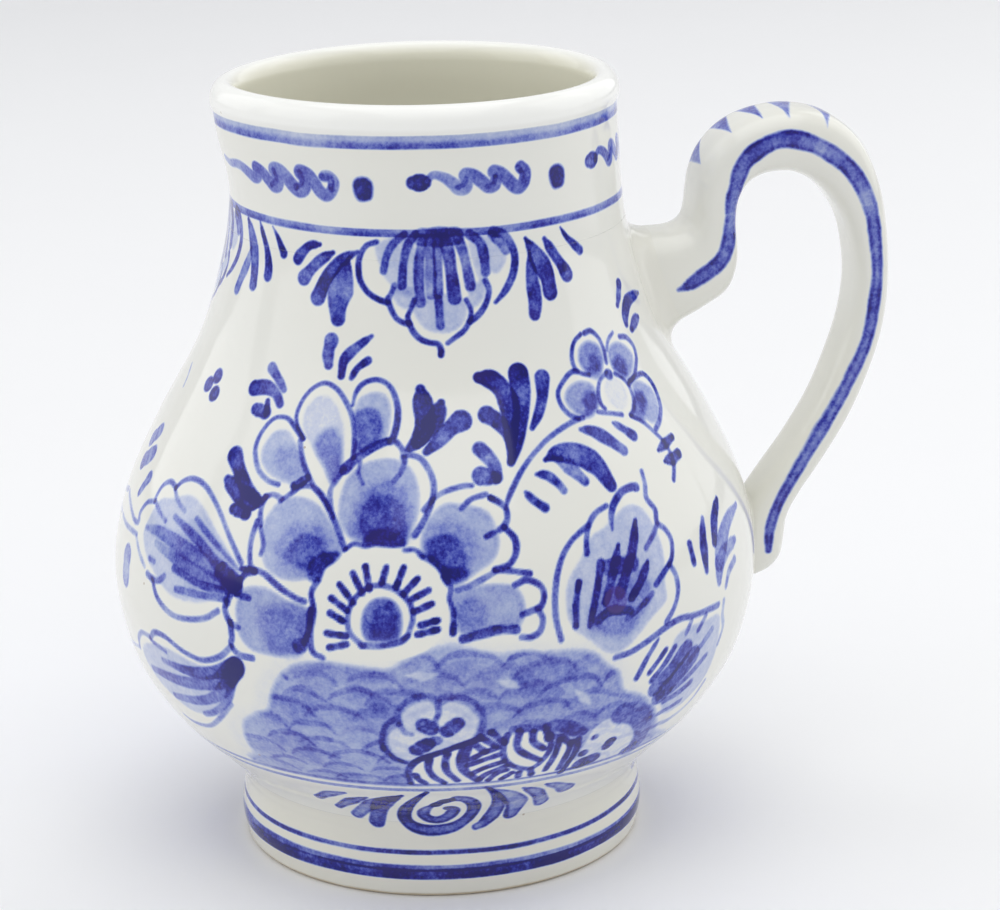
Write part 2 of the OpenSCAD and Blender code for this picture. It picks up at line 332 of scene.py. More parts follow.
def left_petals(p):
    """The two petals to the left of the heart."""
    p.wash(.25, -25.7, 18.5, -24, 21, -21, 22, -18, 21.3, -15.5, 19, -13.2, 15.5, -14.5, 13, -17, 11,
           -21, 10, -24.5, 11.5, -25.8, 15)
    p.wash(.2, -23.5, 14, -21, 18, -17, 18.5, -14.5, 15.5, -16.5, 11.5, -21, 11, soft=1.1)
    p.wash(.35, -21.7, 14, -20.5, 16, -18.3, 16.8, -16.3, 16.3, -15.5, 14.5, -16.5, 12.2, -19.5, 12,
           -21.5, 12.8, soft=.42)
    p.wash(.6, -17.8, 12.8, -16, 14.3, -13.3, 14.5, -14.5, 12.5, -15.3, 10.8, -17, 10.2, -17.8, 11,
           soft=.4)
    p.line(.9, .5, -27, 21, -25.5, 21.8, -23.8, 21.3, violet=.4)
    p.lines(.9, .6, (-24, 21, -22, 22.8, -20.5, 24.2), (-26.8, 21.3, -27, 19, -26.5, 17), (-27.2, 17.5,
            -27.5, 14.5, -27, 11.5, -26, 10.5))
    p.line(.8, .5, -26.3, 16.5, -25.3, 14.3, -25.5, 13)
    p.line(.9, .6, -22.3, 23.3, -19.5, 23.8, -17.5, 22.8, -16, 20.8)
    p.wash(.3, -28.5, 5.5, -27.3, 8, -24, 8.6, -20.5, 7.3, -17.5, 6.5, -17.2, 3, -18, .8, -20.5, -.2,
           -25.5, -.2, -27.7, 1.5, -28.2, 3.5)
    p.wash(.3, -24.5, 5.5, -20, 6.6, -17.5, 6, -17.4, 2.5, -19, .3, -21.5, .2, -24, 1.5, soft=1.1)
    p.line(.9, .62, -28.3, 10.5, -26.5, 10.7, -24.5, 10.4, -22, 9, -19.5, 7.9, -18, 7.5, ends=(.5, 0))
    p.lines(1, .62, (-30.2, 6.5, -30.3, 4.5, -29.3, 3, -28, 2.6), (-29.3, 3, -29, 1, -29.2, 0, -28, -1.2,
            -25.8, -1.3))
    p.line(.9, .85, -17.1, 6.5, -17.2, 4, -17.8, 2)
    p.dot(.9, .5, -18.5, 1.5)


def right_petals(p):
    """The two petals to the right of the heart."""
    p.wash(.28, -2, 16, -1, 19.5, 1.5, 21.8, 4.5, 21.5, 7.5, 20.5, 8.8, 18, 9, 15.5, 7.8, 13.2,
           5.5, 11.8, 3.5, 10.7, 1.5, 11, -1, 14)
    p.wash(.2, -1.5, 15, -.5, 18.5, 3, 19, 6, 16, 5, 12.5, 2.5, 10.8, -.5, 12.5, soft=1.1)
    p.wash(.35, -1.3, 16.3, .5, 17.3, 2.5, 17.2, 3.6, 15.8, 4.2, 13.5, 3.2, 11.5, 1, 11.2, -.8, 13.8,
           soft=.42)
    p.wash(.55, -2.2, 15, -.5, 14.2, 1.5, 12.8, 4.5, 12.2, 3.5, 10.7, 1.2, 10.4, -.5, 12.2, -2.3, 14,
           soft=.4)
    p.lines(.9, .55, (-1.5, 21, 0, 22.7, 2, 23.8, 4.5, 24.4, 5.8, 24.4), (4, 21, 5.5, 22.3, 7.8, 22.9))
    p.line(1, .66, 8.5, 22.3, 9.7, 21.5, 10.6, 20.5, 10.6, 19, 10, 18, 9.3, 17.5, ends=(.4, 0))
    p.line(1, .7, 10, 17.8, 11.3, 16, 11.2, 14, 10, 12.5, 8.2, 12)
    p.line(.9, .7, 7.3, 16.7, 8.5, 17.2)
    p.wash(.32, 2, 9.3, 5, 10, 9, 10, 11, 9, 11.7, 7, 11.3, 5, 10, 3.8, 6, 3.8, 3, 4)
    p.wash(.2, 2.6, 8, 4, 8.7, 6, 8, 6.5, 6, 5, 4.5, 2.7, 4.5, soft=.9)
    p.line(.9, .7, 8, 12, 10, 11.7, 12.8, 11)
    p.line(.9, .45, 2.8, 9.6, 5, 10.3, 7.8, 11.6)
    p.line(.9, .7, 10.6, 9.7, 12.3, 10.2, 14, 9.3, 14.5, 8, 14, 6.6, 13.2, 6.2, 11.3, 5.7)
    p.line(.9, .6, 13.4, 6.2, 14, 4.8, 13.5, 3.2, 12.3, 2.6, 11, 2.7)
    p.line(1.3, .7, 3.3, 3.1, 5.5, 3.6, 8, 4, 10.3, 3.8)
    p.line(1, .9, 2, 4, 2.1, 5)


def flower_heart(p):
    """The round heart of the big flower, with its white ring and its dashes."""
    p.lift(-15, .2, -16.4, 1.5, -16.5, 4, -16.2, 6.8, -16.8, 8.5, -15.9, 10.2, -15.3, 12.2, -13.5, 13.3,
           -12.5, 14.7, -10, 15.3, -7, 15.5, -4.3, 15, -2, 14, .2, 12.5, 1, 10.3, 1.5, 8.5, 1.8, 6.5,
           1.3, 4.5, -3, 1, -10, .3)
    p.line(.9, .65, -15.3, .2, -16.7, 1, -17, 3.5, -16.6, 6.3, -17.1, 8.7, -16.3, 10.5)
    p.lines(.7, .6, (-12.8, 15, -11.5, 15.9, -9.8, 15.6, -8.3, 16, -6.5, 15.8, -4.5, 16), (-4.3, 15.2,
            -2.8, 15.2, -1.8, 14.2))
    p.line(.8, .6, 2, 4.5, 2.1, 6.8, 1.7, 8.5, 1.9, 10, 1, 11.5)
    p.lines(.95, .92, (-14.3, 1.7, -12, 2.3), (-14.7, 3.6, -12.1, 3.4), (-14.3, 6.3, -12.5, 5.4),
            (-14.2, 8.3, -12, 6.8), (-13.2, 10.2, -11.2, 7.9), (-11.4, 11.8, -10, 9.2), (-9.7, 12.8,
            -9, 9.8), (-6.8, 12.8, -7.3, 10.8), (-4.4, 12.8, -5.4, 10.2), (-2.5, 11.3, -4.4, 9.3),
            (-1.1, 9.7, -3.2, 8.6), (-.7, 7.9, -3, 6.9), (0, 5.7, -2.2, 5.1), (0, 4.5, -2.6, 3.9))
    p.line(.8, .6, -9.8, 2.2, -11.6, 4, -11.8, 6.5, -10.8, 8.7, -9, 10.1, -7, 10.3, -5, 9.5, -3.6, 8,
           -3.2, 6, -3.8, 4)
    p.line(.9, .7, -10, 2.3, -7.5, 2.3, -5, 2.9, -3.9, 3.7)
    p.wash(.5, -10, 4.5, -9.7, 7, -8.3, 8.5, -6.3, 8.6, -4.9, 7.3, -4.6, 5, -5.3, 3.2, -7.5, 2.8,
           -9.3, 3, soft=.35)
    p.wash(.4, -8.8, 3.5, -8.5, 6.5, -7.3, 7.9, -5.7, 7.8, -5.2, 5.5, -5.6, 3.4, soft=.5)


def middle_leaves(p):
    """The leaf spray over the big flower, and the stem that leads to the small one."""
    p.line((2.9, 3.2, .8), .98, 9, 43, 11.5, 42.3, 13.5, 39.8, 14, 36.5, 13.3, 32, 12.5, 28)
    p.line((3.2, 2.6, 1), .9, 16.8, 43, 16.7, 39.5, 15.8, 35.5, 14.2, 31, 12.5, 27.5)
    p.line((2.4, .8), .85, 21.5, 41.5, 20.6, 38, 19, 35, 17.3, 32.8)
    p.line((2.8, 1), .8, 9.7, 36, 11.3, 34.8, 12.6, 32.5, 12.9, 30)
    p.line((2.2, 1.3), .7, 7.7, 30.2, 8.7, 29, 9.9, 27, 9.8, 25.3)
    p.line((2.6, 1.5), .7, 7.5, 25.8, 8.5, 25.6, 9.5, 25.2)
    p.dot(.9, .4, 9.8, 25.4)
    p.line((2.6, 3.1, 1), 1, -2, 41.3, -1.5, 38, -1.2, 35, -2.3, 32.3, -4, 30.6)
    p.line((2.2, 2.6, 1.6), .95, 1.7, 38.7, .6, 36, -1, 33.5, -2.5, 31.8)
    p.line((3, 1.2), .85, 5, 35.3, 3, 34, .8, 31.8, -1, 30.2)
    p.line((.9, 1), .6, 10.6, 20.5, 11.5, 22.5, 14, 26, 17, 28.8, 20.5, 31, 24.5, 32.5, 27.5, 33)
    p.line((1.1, 1.4), .8, 14, 22.6, 15, 21.3, 16.6, 19.9)
    p.line((1.2, 1.5, 1.1), .7, 16.3, 25.1, 18, 24.7, 19.5, 23.2, 20.2, 22)
    p.line((1.2, 2.6, 3.4, 1.6), .75, 18.3, 27.2, 21, 27.9, 24.5, 27, 27, 24.8, 28.5, 21.3,
           ends=(.3, .2))
    p.line((1, 2, 1.4), .5, 19.8, 27.5, 22, 25.5, 24.1, 22.8)
    p.line((1.2, 2, 1.6), .7, 26.2, 31.1, 28.5, 30.3, 31, 28.3, 33.2, 26)
    p.line((1, 1.7), .65, 33.3, 30.8, 34.8, 29.5, 36.5, 27.8)


def four_petal_flower(p):
    """The small flower at the end of the stem."""
    p.wash(.45, 30.6, 43.5, 31.6, 45.7, 34, 46.5, 36.3, 45.3, 36.9, 43, 35.8, 41, 33, 40.3, 31, 41.5)
    p.wash(.5, 32.7, 42, 33.7, 43.8, 35.3, 43.3, 35.9, 41.5, 34.9, 39.6, 33.2, 39.2, 31.7, 40.5, soft=.6)
    p.wash(.36, 25, 36.5, 26.3, 38.6, 29, 39.5, 31.5, 38.7, 32.3, 36.8, 31.5, 34.5, 29, 33.3, 26.6, 33.8)
    p.wash(.55, 28.6, 36, 30.3, 37.3, 32, 36.3, 31.3, 34.3, 29.5, 33, 27.5, 33, 28.8, 34.5, soft=.6)
    p.wash(.35, 38.3, 41, 39, 43.7, 41.5, 44.6, 44, 43.7, 45.8, 41.5, 45, 39.5, 42.5, 37.8, 40.5, 38.5)
    p.wash(.55, 38.6, 40.2, 40, 41.8, 42, 41.9, 42.7, 40.3, 41.5, 37.8, 40.3, 38, soft=.6)
    p.wash(.33, 41, 33, 42, 36, 44.5, 36, 46.8, 34, 46.6, 31, 44.5, 28.8, 42.3, 28.5, 41, 30.5)
    p.wash(.55, 38.8, 31.3, 40.3, 33.3, 42, 34.7, 43.7, 33.8, 43.4, 32, 41.5, 30.5, 40.5, 29.5, soft=.6)
    p.wash(.08, 34, 35, 34.8, 38, 37, 38.9, 39.2, 37.5, 39.6, 35, 38.3, 32.8, 35.8, 32.5)
    p.line(1, .7, 32.6, 48.2, 30.5, 47, 29.2, 44.8, 29, 42.5, 30, 41, 32, 40.2)
    p.line((1.2, .9), .66, 33.7, 48.2, 35.5, 48.3, 37.2, 46.5, 37.7, 44, 37.3, 41.5)
    p.line(1, .62, 29.5, 41.3, 28, 41.5, 25.8, 40.2, 24, 38.3, 23.9, 36, 25, 34, 26.6, 33)
    p.line(.9, .5, 38.5, 43.8, 39.8, 45.5, 41.9, 46.6)
    p.line((1.2, .9), .64, 43.7, 45.3, 46, 44.6, 47.4, 42.5, 47, 40.5, 45.3, 38.7, 43.5, 37.3,
           41.5, 36.8)
    p.line(1.1, .64, 41, 36.3, 43, 37, 46.5, 37, 48, 34.5, 47.2, 31, 45, 28.7, 42.5, 27.4)
    p.line(.9, .6, 36.5, 39.8, 34, 38.6, 32.6, 36.5, 32.3, 34.5, 32.8, 33.6)
    p.dot(.9, .6, 36.8, 39.3)
    p.line(.9, .65, 38.5, 39, 40, 37.8, 40.8, 36, 40.5, 33.5, 39.2, 31.8, 38, 31.2)
    p.line(.9, .55, 31, 33.3, 33.3, 32.6, 36, 31.7)
    p.line(.9, .65, 38, 31, 40, 29.5, 41.8, 27, 43, 25, 43.5, 22.5, 43, 21, 41.5, 19)
    p.line((1.1, 1.6, 1.2), .85, 40.8, 24.1, 43, 24.6, 45.8, 25.1)
    p.line((1, 1.8, 1.4), .85, 41.2, 22.1, 43.3, 22, 45.5, 22.3)


def side_strokes(p):
    """Sprays and loose leaves between the small flower and the handle."""
    p.line((2, 1), .7, 49.3, 55.3, 47.8, 53, 46.3, 51.3)
    p.line((1, 2.6, 1.2), .78, 59, 51, 55, 51.3, 51, 51, 48.3, 48.8, 47.6, 47)
    p.line((1.6, 2, 1), .8, 54, 47, 52, 46.8, 50, 46, 48.9, 45.5)
    p.line(1.1, .8, 40.2, 9.6, 40.3, 6.8)
    p.line((1.4, 1.7, .9), .8, 44.9, 12, 43.7, 9.5, 43.1, 7, 42.9, 5)
    p.line((1.3, 1.8, 1.2), .9, 50.8, 13.2, 48, 11, 46.3, 8)
    p.line((1.2, 2.6, 1), .45, 57.5, 10.3, 52, 9.5, 48, 7, 46.2, 4, 45.8, 2.5)
    p.line((1.4, 2.2), .4, 53, 6.5, 49, 6, 46.5, 5)
    p.line((1.3, .9), .4, 51.5, 4, 49, 3, 47.7, 1.3)


def right_tulip(p):
    """The open tulip to the right of the big flower."""
    p.wash(.2, 17.5, 5, 18, 9, 20.5, 12, 22.5, 14.5, 25, 15.5, 27.5, 16.8, 30.5, 17.8, 33, 16.5,
           34.2, 13, 34.5, 10, 33.8, 6, 33.5, 3.5, 31, 2, 29, .5, 27, -1, 24.8, -1.8, 22.5, -.8, 20.5, 1,
           18.5, 2.5)
    p.wash(.3, 20.5, 3, 22, 7, 24, 9.5, 27, 10.5, 29.5, 9, 31, 6, 30, 3.5, 28, 1.5, 26, 0, 24, .5,
           22, 1.5, soft=1)
    p.line(.9, .58, 16.4, 1.6, 15.8, 5, 16.3, 9, 17.6, 12.3, 19.5, 14.5, 21.5, 15.7, 22.8, 16.3)
    p.line(.9, .64, 21.6, 12.5, 22, 14.5, 23, 16.5, 24.5, 17.8, 26.6, 18.5)
    p.line((.9, 1.4), .72, 26.5, 15, 26.9, 16.8, 28, 18.5, 30, 19.9, 32, 20.2, 33, 20)
    p.line(.9, .64, 35.3, 22, 35, 20, 34.3, 18, 35.2, 16, 34.8, 14.2, 36, 12.8, 36.6, 11, 36, 9, 35, 8,
           33.5, 7, 32, 6)
    p.line(.9, .52, 35.2, 8, 36, 6.3, 36, 4.2, 35, 2.2, 33.3, .5)
    p.line(.9, .55, 34.8, 14, 33.5, 12.8, 31.5, 11.2)
    p.line((1.3, 1.6), .82, 30.9, 15.4, 29.3, 12, 27.5, 9, 25.8, 6.3)
    p.line((1, 1.5, 1), .8, 26.9, 12.7, 25.7, 10.3, 24.3, 7.5, 23.3, 5.5)
    p.line((1.3, .9), .8, 23.5, 10.8, 22.3, 7.5, 20.6, 2.8)
    p.line(1, .8, 19.7, 8.8, 18.9, 6.2, 18.6, 3.1)
    p.line((1.2, 1.4, 1.1), .8, 31.2, 9.3, 29.6, 7.2, 27.5, 5.2)
    p.line(1.3, .8, 21.8, 3.3, 24, 4.2, 27, 3.6)
    p.line(.9, .5, 31.2, 5, 29, 3.7, 26.5, 2.6)
    p.line(2, .55, 24.5, 10, 28.5, 9.8)
    p.dot(1.4, .2, 25, 5.5, violet=.8)


def right_low_bud(p):
    """The bud under the right tulip."""
    p.wash(.18, 33, -8, 35, -2.5, 38, -1.5, 42, -1.8, 45.5, -2, 46.5, -5, 46.5, -9, 45, -12.5, 41, -15.5,
           37, -15.5, 35, -13, 33, -11)
    p.line(1, .55, 24.5, -2.4, 27, -2.2, 30, -1.3, 33, -.3, 36, .2, 39, -.2, 42, -.4, 45.3, -.6)
    p.line((.9, 1.1), .62, 31.8, -1.6, 30, -3.8, 28.5, -6.5)
    p.lines(.9, .4, (38.5, -.8, 37.5, -2.3), (42, -1, 40.3, -2.7))
    p.line(.9, .3, 47, -.5, 46.8, -2.5, 47.5, -4.5, 46.8, -7)
    p.line(1.2, .25, 37, -18, 40, -18.2, 44, -16.5, 46, -13)
    p.line(1, .7, 33.4, -3.6, 30.8, -6.3)
    p.line(1.1, .7, 35.2, -3.7, 33.5, -5.8, 31.5, -7.7)
    p.line(2.3, .6, 37.8, -4.8, 35.5, -7, 32.6, -9.3)
    p.line(2.6, .6, 39.8, -6.5, 36.5, -9, 34, -11)
    p.dot(.85, .6, 34, -11)
    p.line(1.2, .35, 44, -3.8, 41, -5.8, 39, -7.2)
    p.line(1.2, .42, 43.5, -7.7, 39.5, -9.8, 36.5, -11)
    p.line(1.3, .45, 41, -11.2, 38, -12.2, 35.5, -12.5)
    p.line(1.1, .42, 40, -14.3, 35.3, -15)


def left_tulip(p):
    """The tulip that lies to the left, with its curling stem."""
    p.wash(.17, -51, 12.5, -49.5, 15.8, -46, 17, -42, 18.5, -38, 17.5, -33, 14, -29, 10.5, -28.5, 8,
           -31, 6.5, -35, 4.5, -41, 4, -45, 5.5, -49, 7.5, -51.5, 10)
    p.wash(.15, -40, 14.5, -33, 12.5, -29, 9.5, -31, 7, -38, 6.5, -42, 10, soft=2, violet=.35)
    p.line(.9, .55, -28.5, 11.3, -31, 14, -35, 18, -39, 20.5, -42.5, 21, -45, 20, -46.3, 18.5)
    p.line(.9, .5, -46.3, 18.7, -48.5, 19, -50.3, 17.8, -51, 16, -50.9, 15.2)
    p.line(.9, .4, -50.9, 15.2, -53.3, 14.3, -54.7, 12.3, -54.3, 11, -56.5, 10.8, -60, 11.8, -64, 12.8)
    p.line(.8, .38, -50.8, 15.3, -48.5, 14.3, -46, 13.5)
    p.line(.8, .3, -46.5, 18.5, -44.5, 17, -42, 16)
    p.line(.8, .35, -64, 9.2, -60, 9, -56, 9.2, -53.8, 9.3)
    p.line(.8, .25, -53.8, 9, -51.5, 7.3, -49, 6)
    p.line(1, .5, -48, 5.3, -46, 5, -44.5, 5.3, -43.3, 6.2)
    p.line(.9, .5, -46.3, 5, -44.5, 2.8, -41, 1.5, -37.5, 1.7, -34, 2.6, -31.6, 4.1)
    p.line((2, .8), .45, -29, 8.5, -33, 10.5, -38, 13, -44, 14.7, ends=(.5, -.3))
    p.line((2, 2.2, .7), .36, -29, 8.2, -34, 9.8, -40, 11, -46, 11.7, -51, 11.2, ends=(.5, -.4))
    p.line((1.4, 1.9, .9), .32, -29.3, 7.6, -34, 8.2, -40, 9, -47, 10, ends=(.5, -.5))
    p.line(1.2, .5, -30, 7.2, -35, 7, -41.3, 7.8)
    p.line(1.1, .45, -31, 6, -35, 5.6, -40.2, 5.2)
    p.line((.7, 1.1), .42, -28.7, 10.3, -33, 12.7, -38.8, 15.6)
    p.line(.9, .38, -48, 7.5, -46.5, 7.4)
    p.line((2.3, 1.8), .6, -31.5, 9.5, -28.8, 7.8)
    p.line(1.1, .8, -28.8, 8, -27.5, 10, -26, 10.5)
    p.lines(1, .6, (-28.5, 7, -26.5, 6.8), (-29.5, 7, -30, 5.5))


def left_low_bud(p):
    """The bud under the left tulip."""
    p.wash(.17, -29, -4, -36, -4.5, -44, -4, -51, -6, -52, -9, -48, -12, -42, -14, -36, -13, -31, -9)
    p.line(.9, .5, -29.2, -.3, -31.5, -2.3, -35, -3.6, -39, -3.3, -43, -2.3, -46, -2.6, -47.6, -4)
    p.line(.9, .36, -47.6, -3.8, -50.5, -4, -52.7, -5.6, -53.5, -7.3)
    p.line(.8, .38, -47, -4.3, -43.5, -4.7)
    p.line(.8, .3, -53.5, -7.3, -58, -8.3, -64, -10)
    p.line(.9, .36, -31, -9.5, -35, -13.5, -39, -16.3, -44, -17.5, -46.5, -17)
    p.line((2.2, .8), .55, -28.6, -3, -33, -5, -38, -6.2, -45, -6.5, ends=(.5, -.4))
    p.line((2.4, 1), .52, -29, -3.5, -33, -6.5, -40, -8.5, -50, -9.5, ends=(.5, -.5))
    p.line((2, 1), .48, -29.3, -4.3, -33, -8.5, -38, -11, -45, -12.5, ends=(.4, -.4))
    p.line((1.4, 1), .4, -29.5, -5, -31.5, -9, -35, -12, -38, -13.5)
    p.dot(.9, .6, -28.5, -2.8)


def far_left_strokes(p):
    """Loose leaves beyond the left tulip."""
    p.line(2.2, .55, -60.8, 24.3, -63.5, 22)
    p.line(2.4, .55, -59.3, 20.7, -62.5, 18.5)
    p.line((1.8, 1.2), .5, -56.2, 17.5, -58, 14.5)
    p.line(2.6, .4, -56.2, 5.5, -56, 2.5)
    p.line(.8, .3, -63, 37, -61.5, 35, -60.8, 33)


CLOUD = (-30, -13, -27.5, -10.5, -24.5, -9, -23.3, -6, -21.5, -3, -18.5, -1, -14, -.5, -10, -.8, -6.5,
         -1, -4.5, .3, -1, 1.8, 2, 2.5, 5, 1.5, 8, .8, 11, .8, 14, .2, 18, 0, 21, -1, 23, -3, 25.3, -5,
         26.5, -8, 29.5, -9.5, 32.5, -12, 35, -15.5, 37.5, -19.5, 38, -23.5, -28, -23.5, -31, -19)


def cloud(p, seed):
    """The bank of ground under the flowers: a wash with rows of dabbed, scale-shaped arcs."""
    p.wash(.19, *CLOUD, soft=.6)
    p.clip(*CLOUD)
    rng = np.random.default_rng(seed)
    for row in range(9):
        v = -1.2 - row * 2.7
        for k in range(9):
            x = -27 + k * 7.6 + (row % 2) * 3.8 + rng.uniform(-1.4, 1.4)
            r = rng.uniform(3, 5)
            arc = [(x + r * math.cos(a), v + rng.uniform(-.3, .3) + .55 * r * math.sin(a))
                   for a in np.radians([172, 130, 90, 50, 12])]
            p.wash(rng.uniform(.06, .2), *np.ravel(arc), x + .5 * r, v - 1.5, x - .5 * r, v - 1.5,
                   soft=1.1, edge=0)
            p.line((.5, 1.1, .5), rng.uniform(.1, .3), *np.ravel(arc), violet=rng.uniform(0, .25),
                   edge=0)
    p.clip()


def pansies(p):
    """The two pansies and the fluted shell that sit in the bank of ground."""
    p.lift(-4.5, -1.7, -2.5, -1.2, 0, -1.5, -2, -2.5, left=.35)
    p.lift(7.5, -3, 9.5, -3, 10.7, -4.4, 9, -4.2, left=.35)
    p.lift(18.5, -6, 20.5, -7, 21.3, -9, 19.5, -8, left=.35)
    p.lift(-7.3, -12.5, -6.8, -10.5, -5.3, -9.3, -5, -7.5, -3.5, -6, -1.5, -5.5, 0, -6.3, 1.5, -5.7,
           3.5, -6.5, 5, -8.3, 5, -10.3, 4, -12.3, 2, -13, .3, -14, -2, -15, -4.5, -16.3, -6.5, -15.3,
           left=.3)
    p.line(.9, .5, -8.2, -14, -8, -11.5, -7.3, -9.5, -6.2, -8.5)
    p.line(.9, .36, -5.5, -9.2, -5.6, -7.2, -4, -5.3, -1.5, -4.7, 0, -5.5)
    p.line(.9, .45, -.3, -5.8, -.2, -7.5, -.7, -8.8)
    p.line(.9, .36, .3, -5, 3.5, -5.3, 5.5, -7.3, 5.8, -10, 4.8, -12.3)
    p.line(.9, .4, -5.5, -9.2, -4.8, -10.6, -4, -11)
    p.line(1, .55, -8, -13.5, -7, -15.7, -5.2, -16.9)
    p.line(2, .8, -2.2, -9.4, -1.3, -10)
    p.line(1.9, .66, 1, -10.5, 2.3, -9.3)
    p.line(2, .75, -3.3, -14, -1.8, -12.8)
    p.line(1.6, .45, -1.8, -12.5, -.5, -12.2)
    p.lift(-4.7, -23, -4.8, -18, -3, -15.8, 0, -14.8, 3, -13.5, 6, -11.8, 10, -12, 15, -12, 18.5, -13.8,
           20.5, -17, 21, -20, 20.5, -23.2)
    p.lines(1.2, .85, (-4.9, -22.8, -4.9, -19, -3.5, -16.5, -1.5, -15.3, .7, -14.3, 3, -13.2,
            5.5, -12.2), (-4, -20.2, -3.6, -21.5, -2.6, -22.8), (-1.7, -16, -1.9, -18.5, -1.2, -20.8,
            .4, -22.8), (.9, -15, .6, -17, .9, -19.5, 2.5, -22.3), (4.3, -12.8, 6.3, -15), (5.5, -11.8,
            7.8, -14), (7, -11.2, 9, -13.5), (4.4, -16.5, 6, -15.3, 8, -14.4), (4, -18, 6, -17,
            8.3, -16), (4.5, -20.5, 6.5, -19, 9.3, -17.8), (5.8, -22.5, 7, -20.8, 9.8, -19), (7.4, -22.8,
            8.5, -21, 10, -20.3), (9.6, -22.8, 11, -21.3), (11, -11.5, 10.9, -14.5, 12.3, -16.5,
            15, -18.7), (13, -12, 13.3, -14, 15.2, -16), (15, -12, 15.5, -14), (17.3, -14.5, 17.3, -18,
            16.7, -22), (19.5, -15.5, 19.5, -18.5, 19.1, -22.5), (20.5, -15, 20.8, -18.5, 20, -24),
            (15.5, -13.6, 17.5, -14, 19.5, -16), (12.3, -22.8, 12.2, -21.5), (14.5, -22.8, 14, -21))
    p.line((1.8, 1.2), .85, 3.5, -14, 3.1, -16.5, 3.5, -19.5, 5.8, -22.6)
    p.line(1.1, .75, 9.3, -12, 8.9, -14.5, 9.5, -17.5, 11.5, -19.8, 14, -20.7, 15.5, -19, 16.2, -16,
           15.7, -13)
    p.line((2.2, 2.4, 1.3), .42, 15, -11.5, 18, -12.3, 21, -13.8)
    p.line(1.3, .4, 10, -11, 15, -11.5)
    p.lift(21.5, -20, 22, -16, 22.8, -13.5, 25, -12.3, 26.5, -14, 28, -14.3, 30, -15.5, 31.8, -18,
           32.5, -21, 31, -23, 22, -23, left=.3)
    p.dot(.6, .75, 23.4, -15.7)
    p.dot(.8, .85, 22.5, -19.3)
    p.line(1.8, .8, 26.8, -19, 27, -18)
    p.line(2.4, .85, 23, -22.3, 25, -21.7)
    p.line(3, .28, 27, -12, 30, -13, 32.5, -16, 34, -20, 34, -23)
    p.line(1.6, .5, 32, -22.5, 34, -21.5)


def foot_scroll(p):
    """The curl and its leaves that cross the corner of the foot."""
    p.line((1.2, 2, 1.7), .48, -17.6, -29, -21.5, -30.8, -25, -33.8, edge=.4)
    p.line((1, 2.2, 1.5), .55, -13.8, -30.2, -17.5, -32.8, -21.8, -37, edge=.4)
    p.line((1, 3.2, 2.2), .48, -7, -28, -13, -33, -18.3, -39.3, edge=.4)
    p.line((1.2, 3.2, 2.8), .6, -7, -28.2, -11.3, -32.5, -14.3, -41.2, ends=(0, .2))
    p.line((1.5, 2.2, 2.4, 2.5, 2.3, 1.8), .72, -2.6, -26.5, -4.5, -29.5, -6.8, -34, -7.9, -38.5,
           -7, -41.3, -4.5, -42.8, -1, -43, 2.5, -42.1, 5, -39.8, 6.2, -36.5, 5.9, -33, 4.4, -30.5,
           2.6, -29.8, edge=.4)
    p.line(1.7, .95, 1.6, -30.4, 0, -31.2, -1.3, -32.6)
    p.line((1.8, 2.3, 2.2, 1.7), .62, -1.6, -32.6, -3.2, -34.8, -3.9, -37.3, -2.8, -39.2, -.7, -39.6,
           1.2, -38.3, 2.2, -36, 1.9, -34.7, 1.1, -34.5, edge=.4, ends=(0, .4))
    p.line((.9, 2.2, 2.9, 1.6), .55, 7.3, -25.4, 9.7, -29.5, 10.9, -34, 10.6, -38.6, 9, -41.5,
           7.2, -42.7, edge=.4)
    p.line((.9, 3, 4, 2.6), .42, 8, -26, 12, -30.5, 14.9, -35, 14.6, -39.8, edge=.4)
    p.line(.9, .3, 8, -26, 11.5, -31.5, 13.3, -36.5, 13.8, -40.3)
    p.line((1, 2.4, 2.5), .46, 14.3, -27.8, 18, -31.5, 20.8, -37, edge=.5)
    p.line((1, 2, 2.8), .44, 18.7, -28, 22, -30.3, 24.9, -33, edge=.5)


def squiggle(p):
    """A ribbon of brushwork that waves between two dots, starting in a dark blob."""
    p.line((2.3, 3.1, 2.4), .95, -3.5, 84.4, -1.6, 84.4, -.2, 84.4)
    p.line((2.1, 2.5, 2.2), .55, 0, 84.3, 1.6, 86, 4, 85.4, 6, 84, 7.3, 82.8, 8.7, 82.9, 9, 84.5,
           8.9, 85.8, 10.7, 85.4, 12.5, 84, 14, 82.7, 15.5, 83, 15.9, 85, 15.4, 86, 17, 85.4, 18.5, 84,
           20, 82.4, 21.4, 81.8, 22.7, 82.9, 23.1, 85, 22, 86.3, edge=0)
    p.line(1.2, .35, 7, 83, 8.3, 83.6, 9, 85)
    p.line(1.2, .4, 13.6, 82.8, 15.2, 83.2, 15.7, 84.8)
    p.line(1.3, .35, 21.2, 86.3, 22.6, 84.6, 22.9, 83.2)


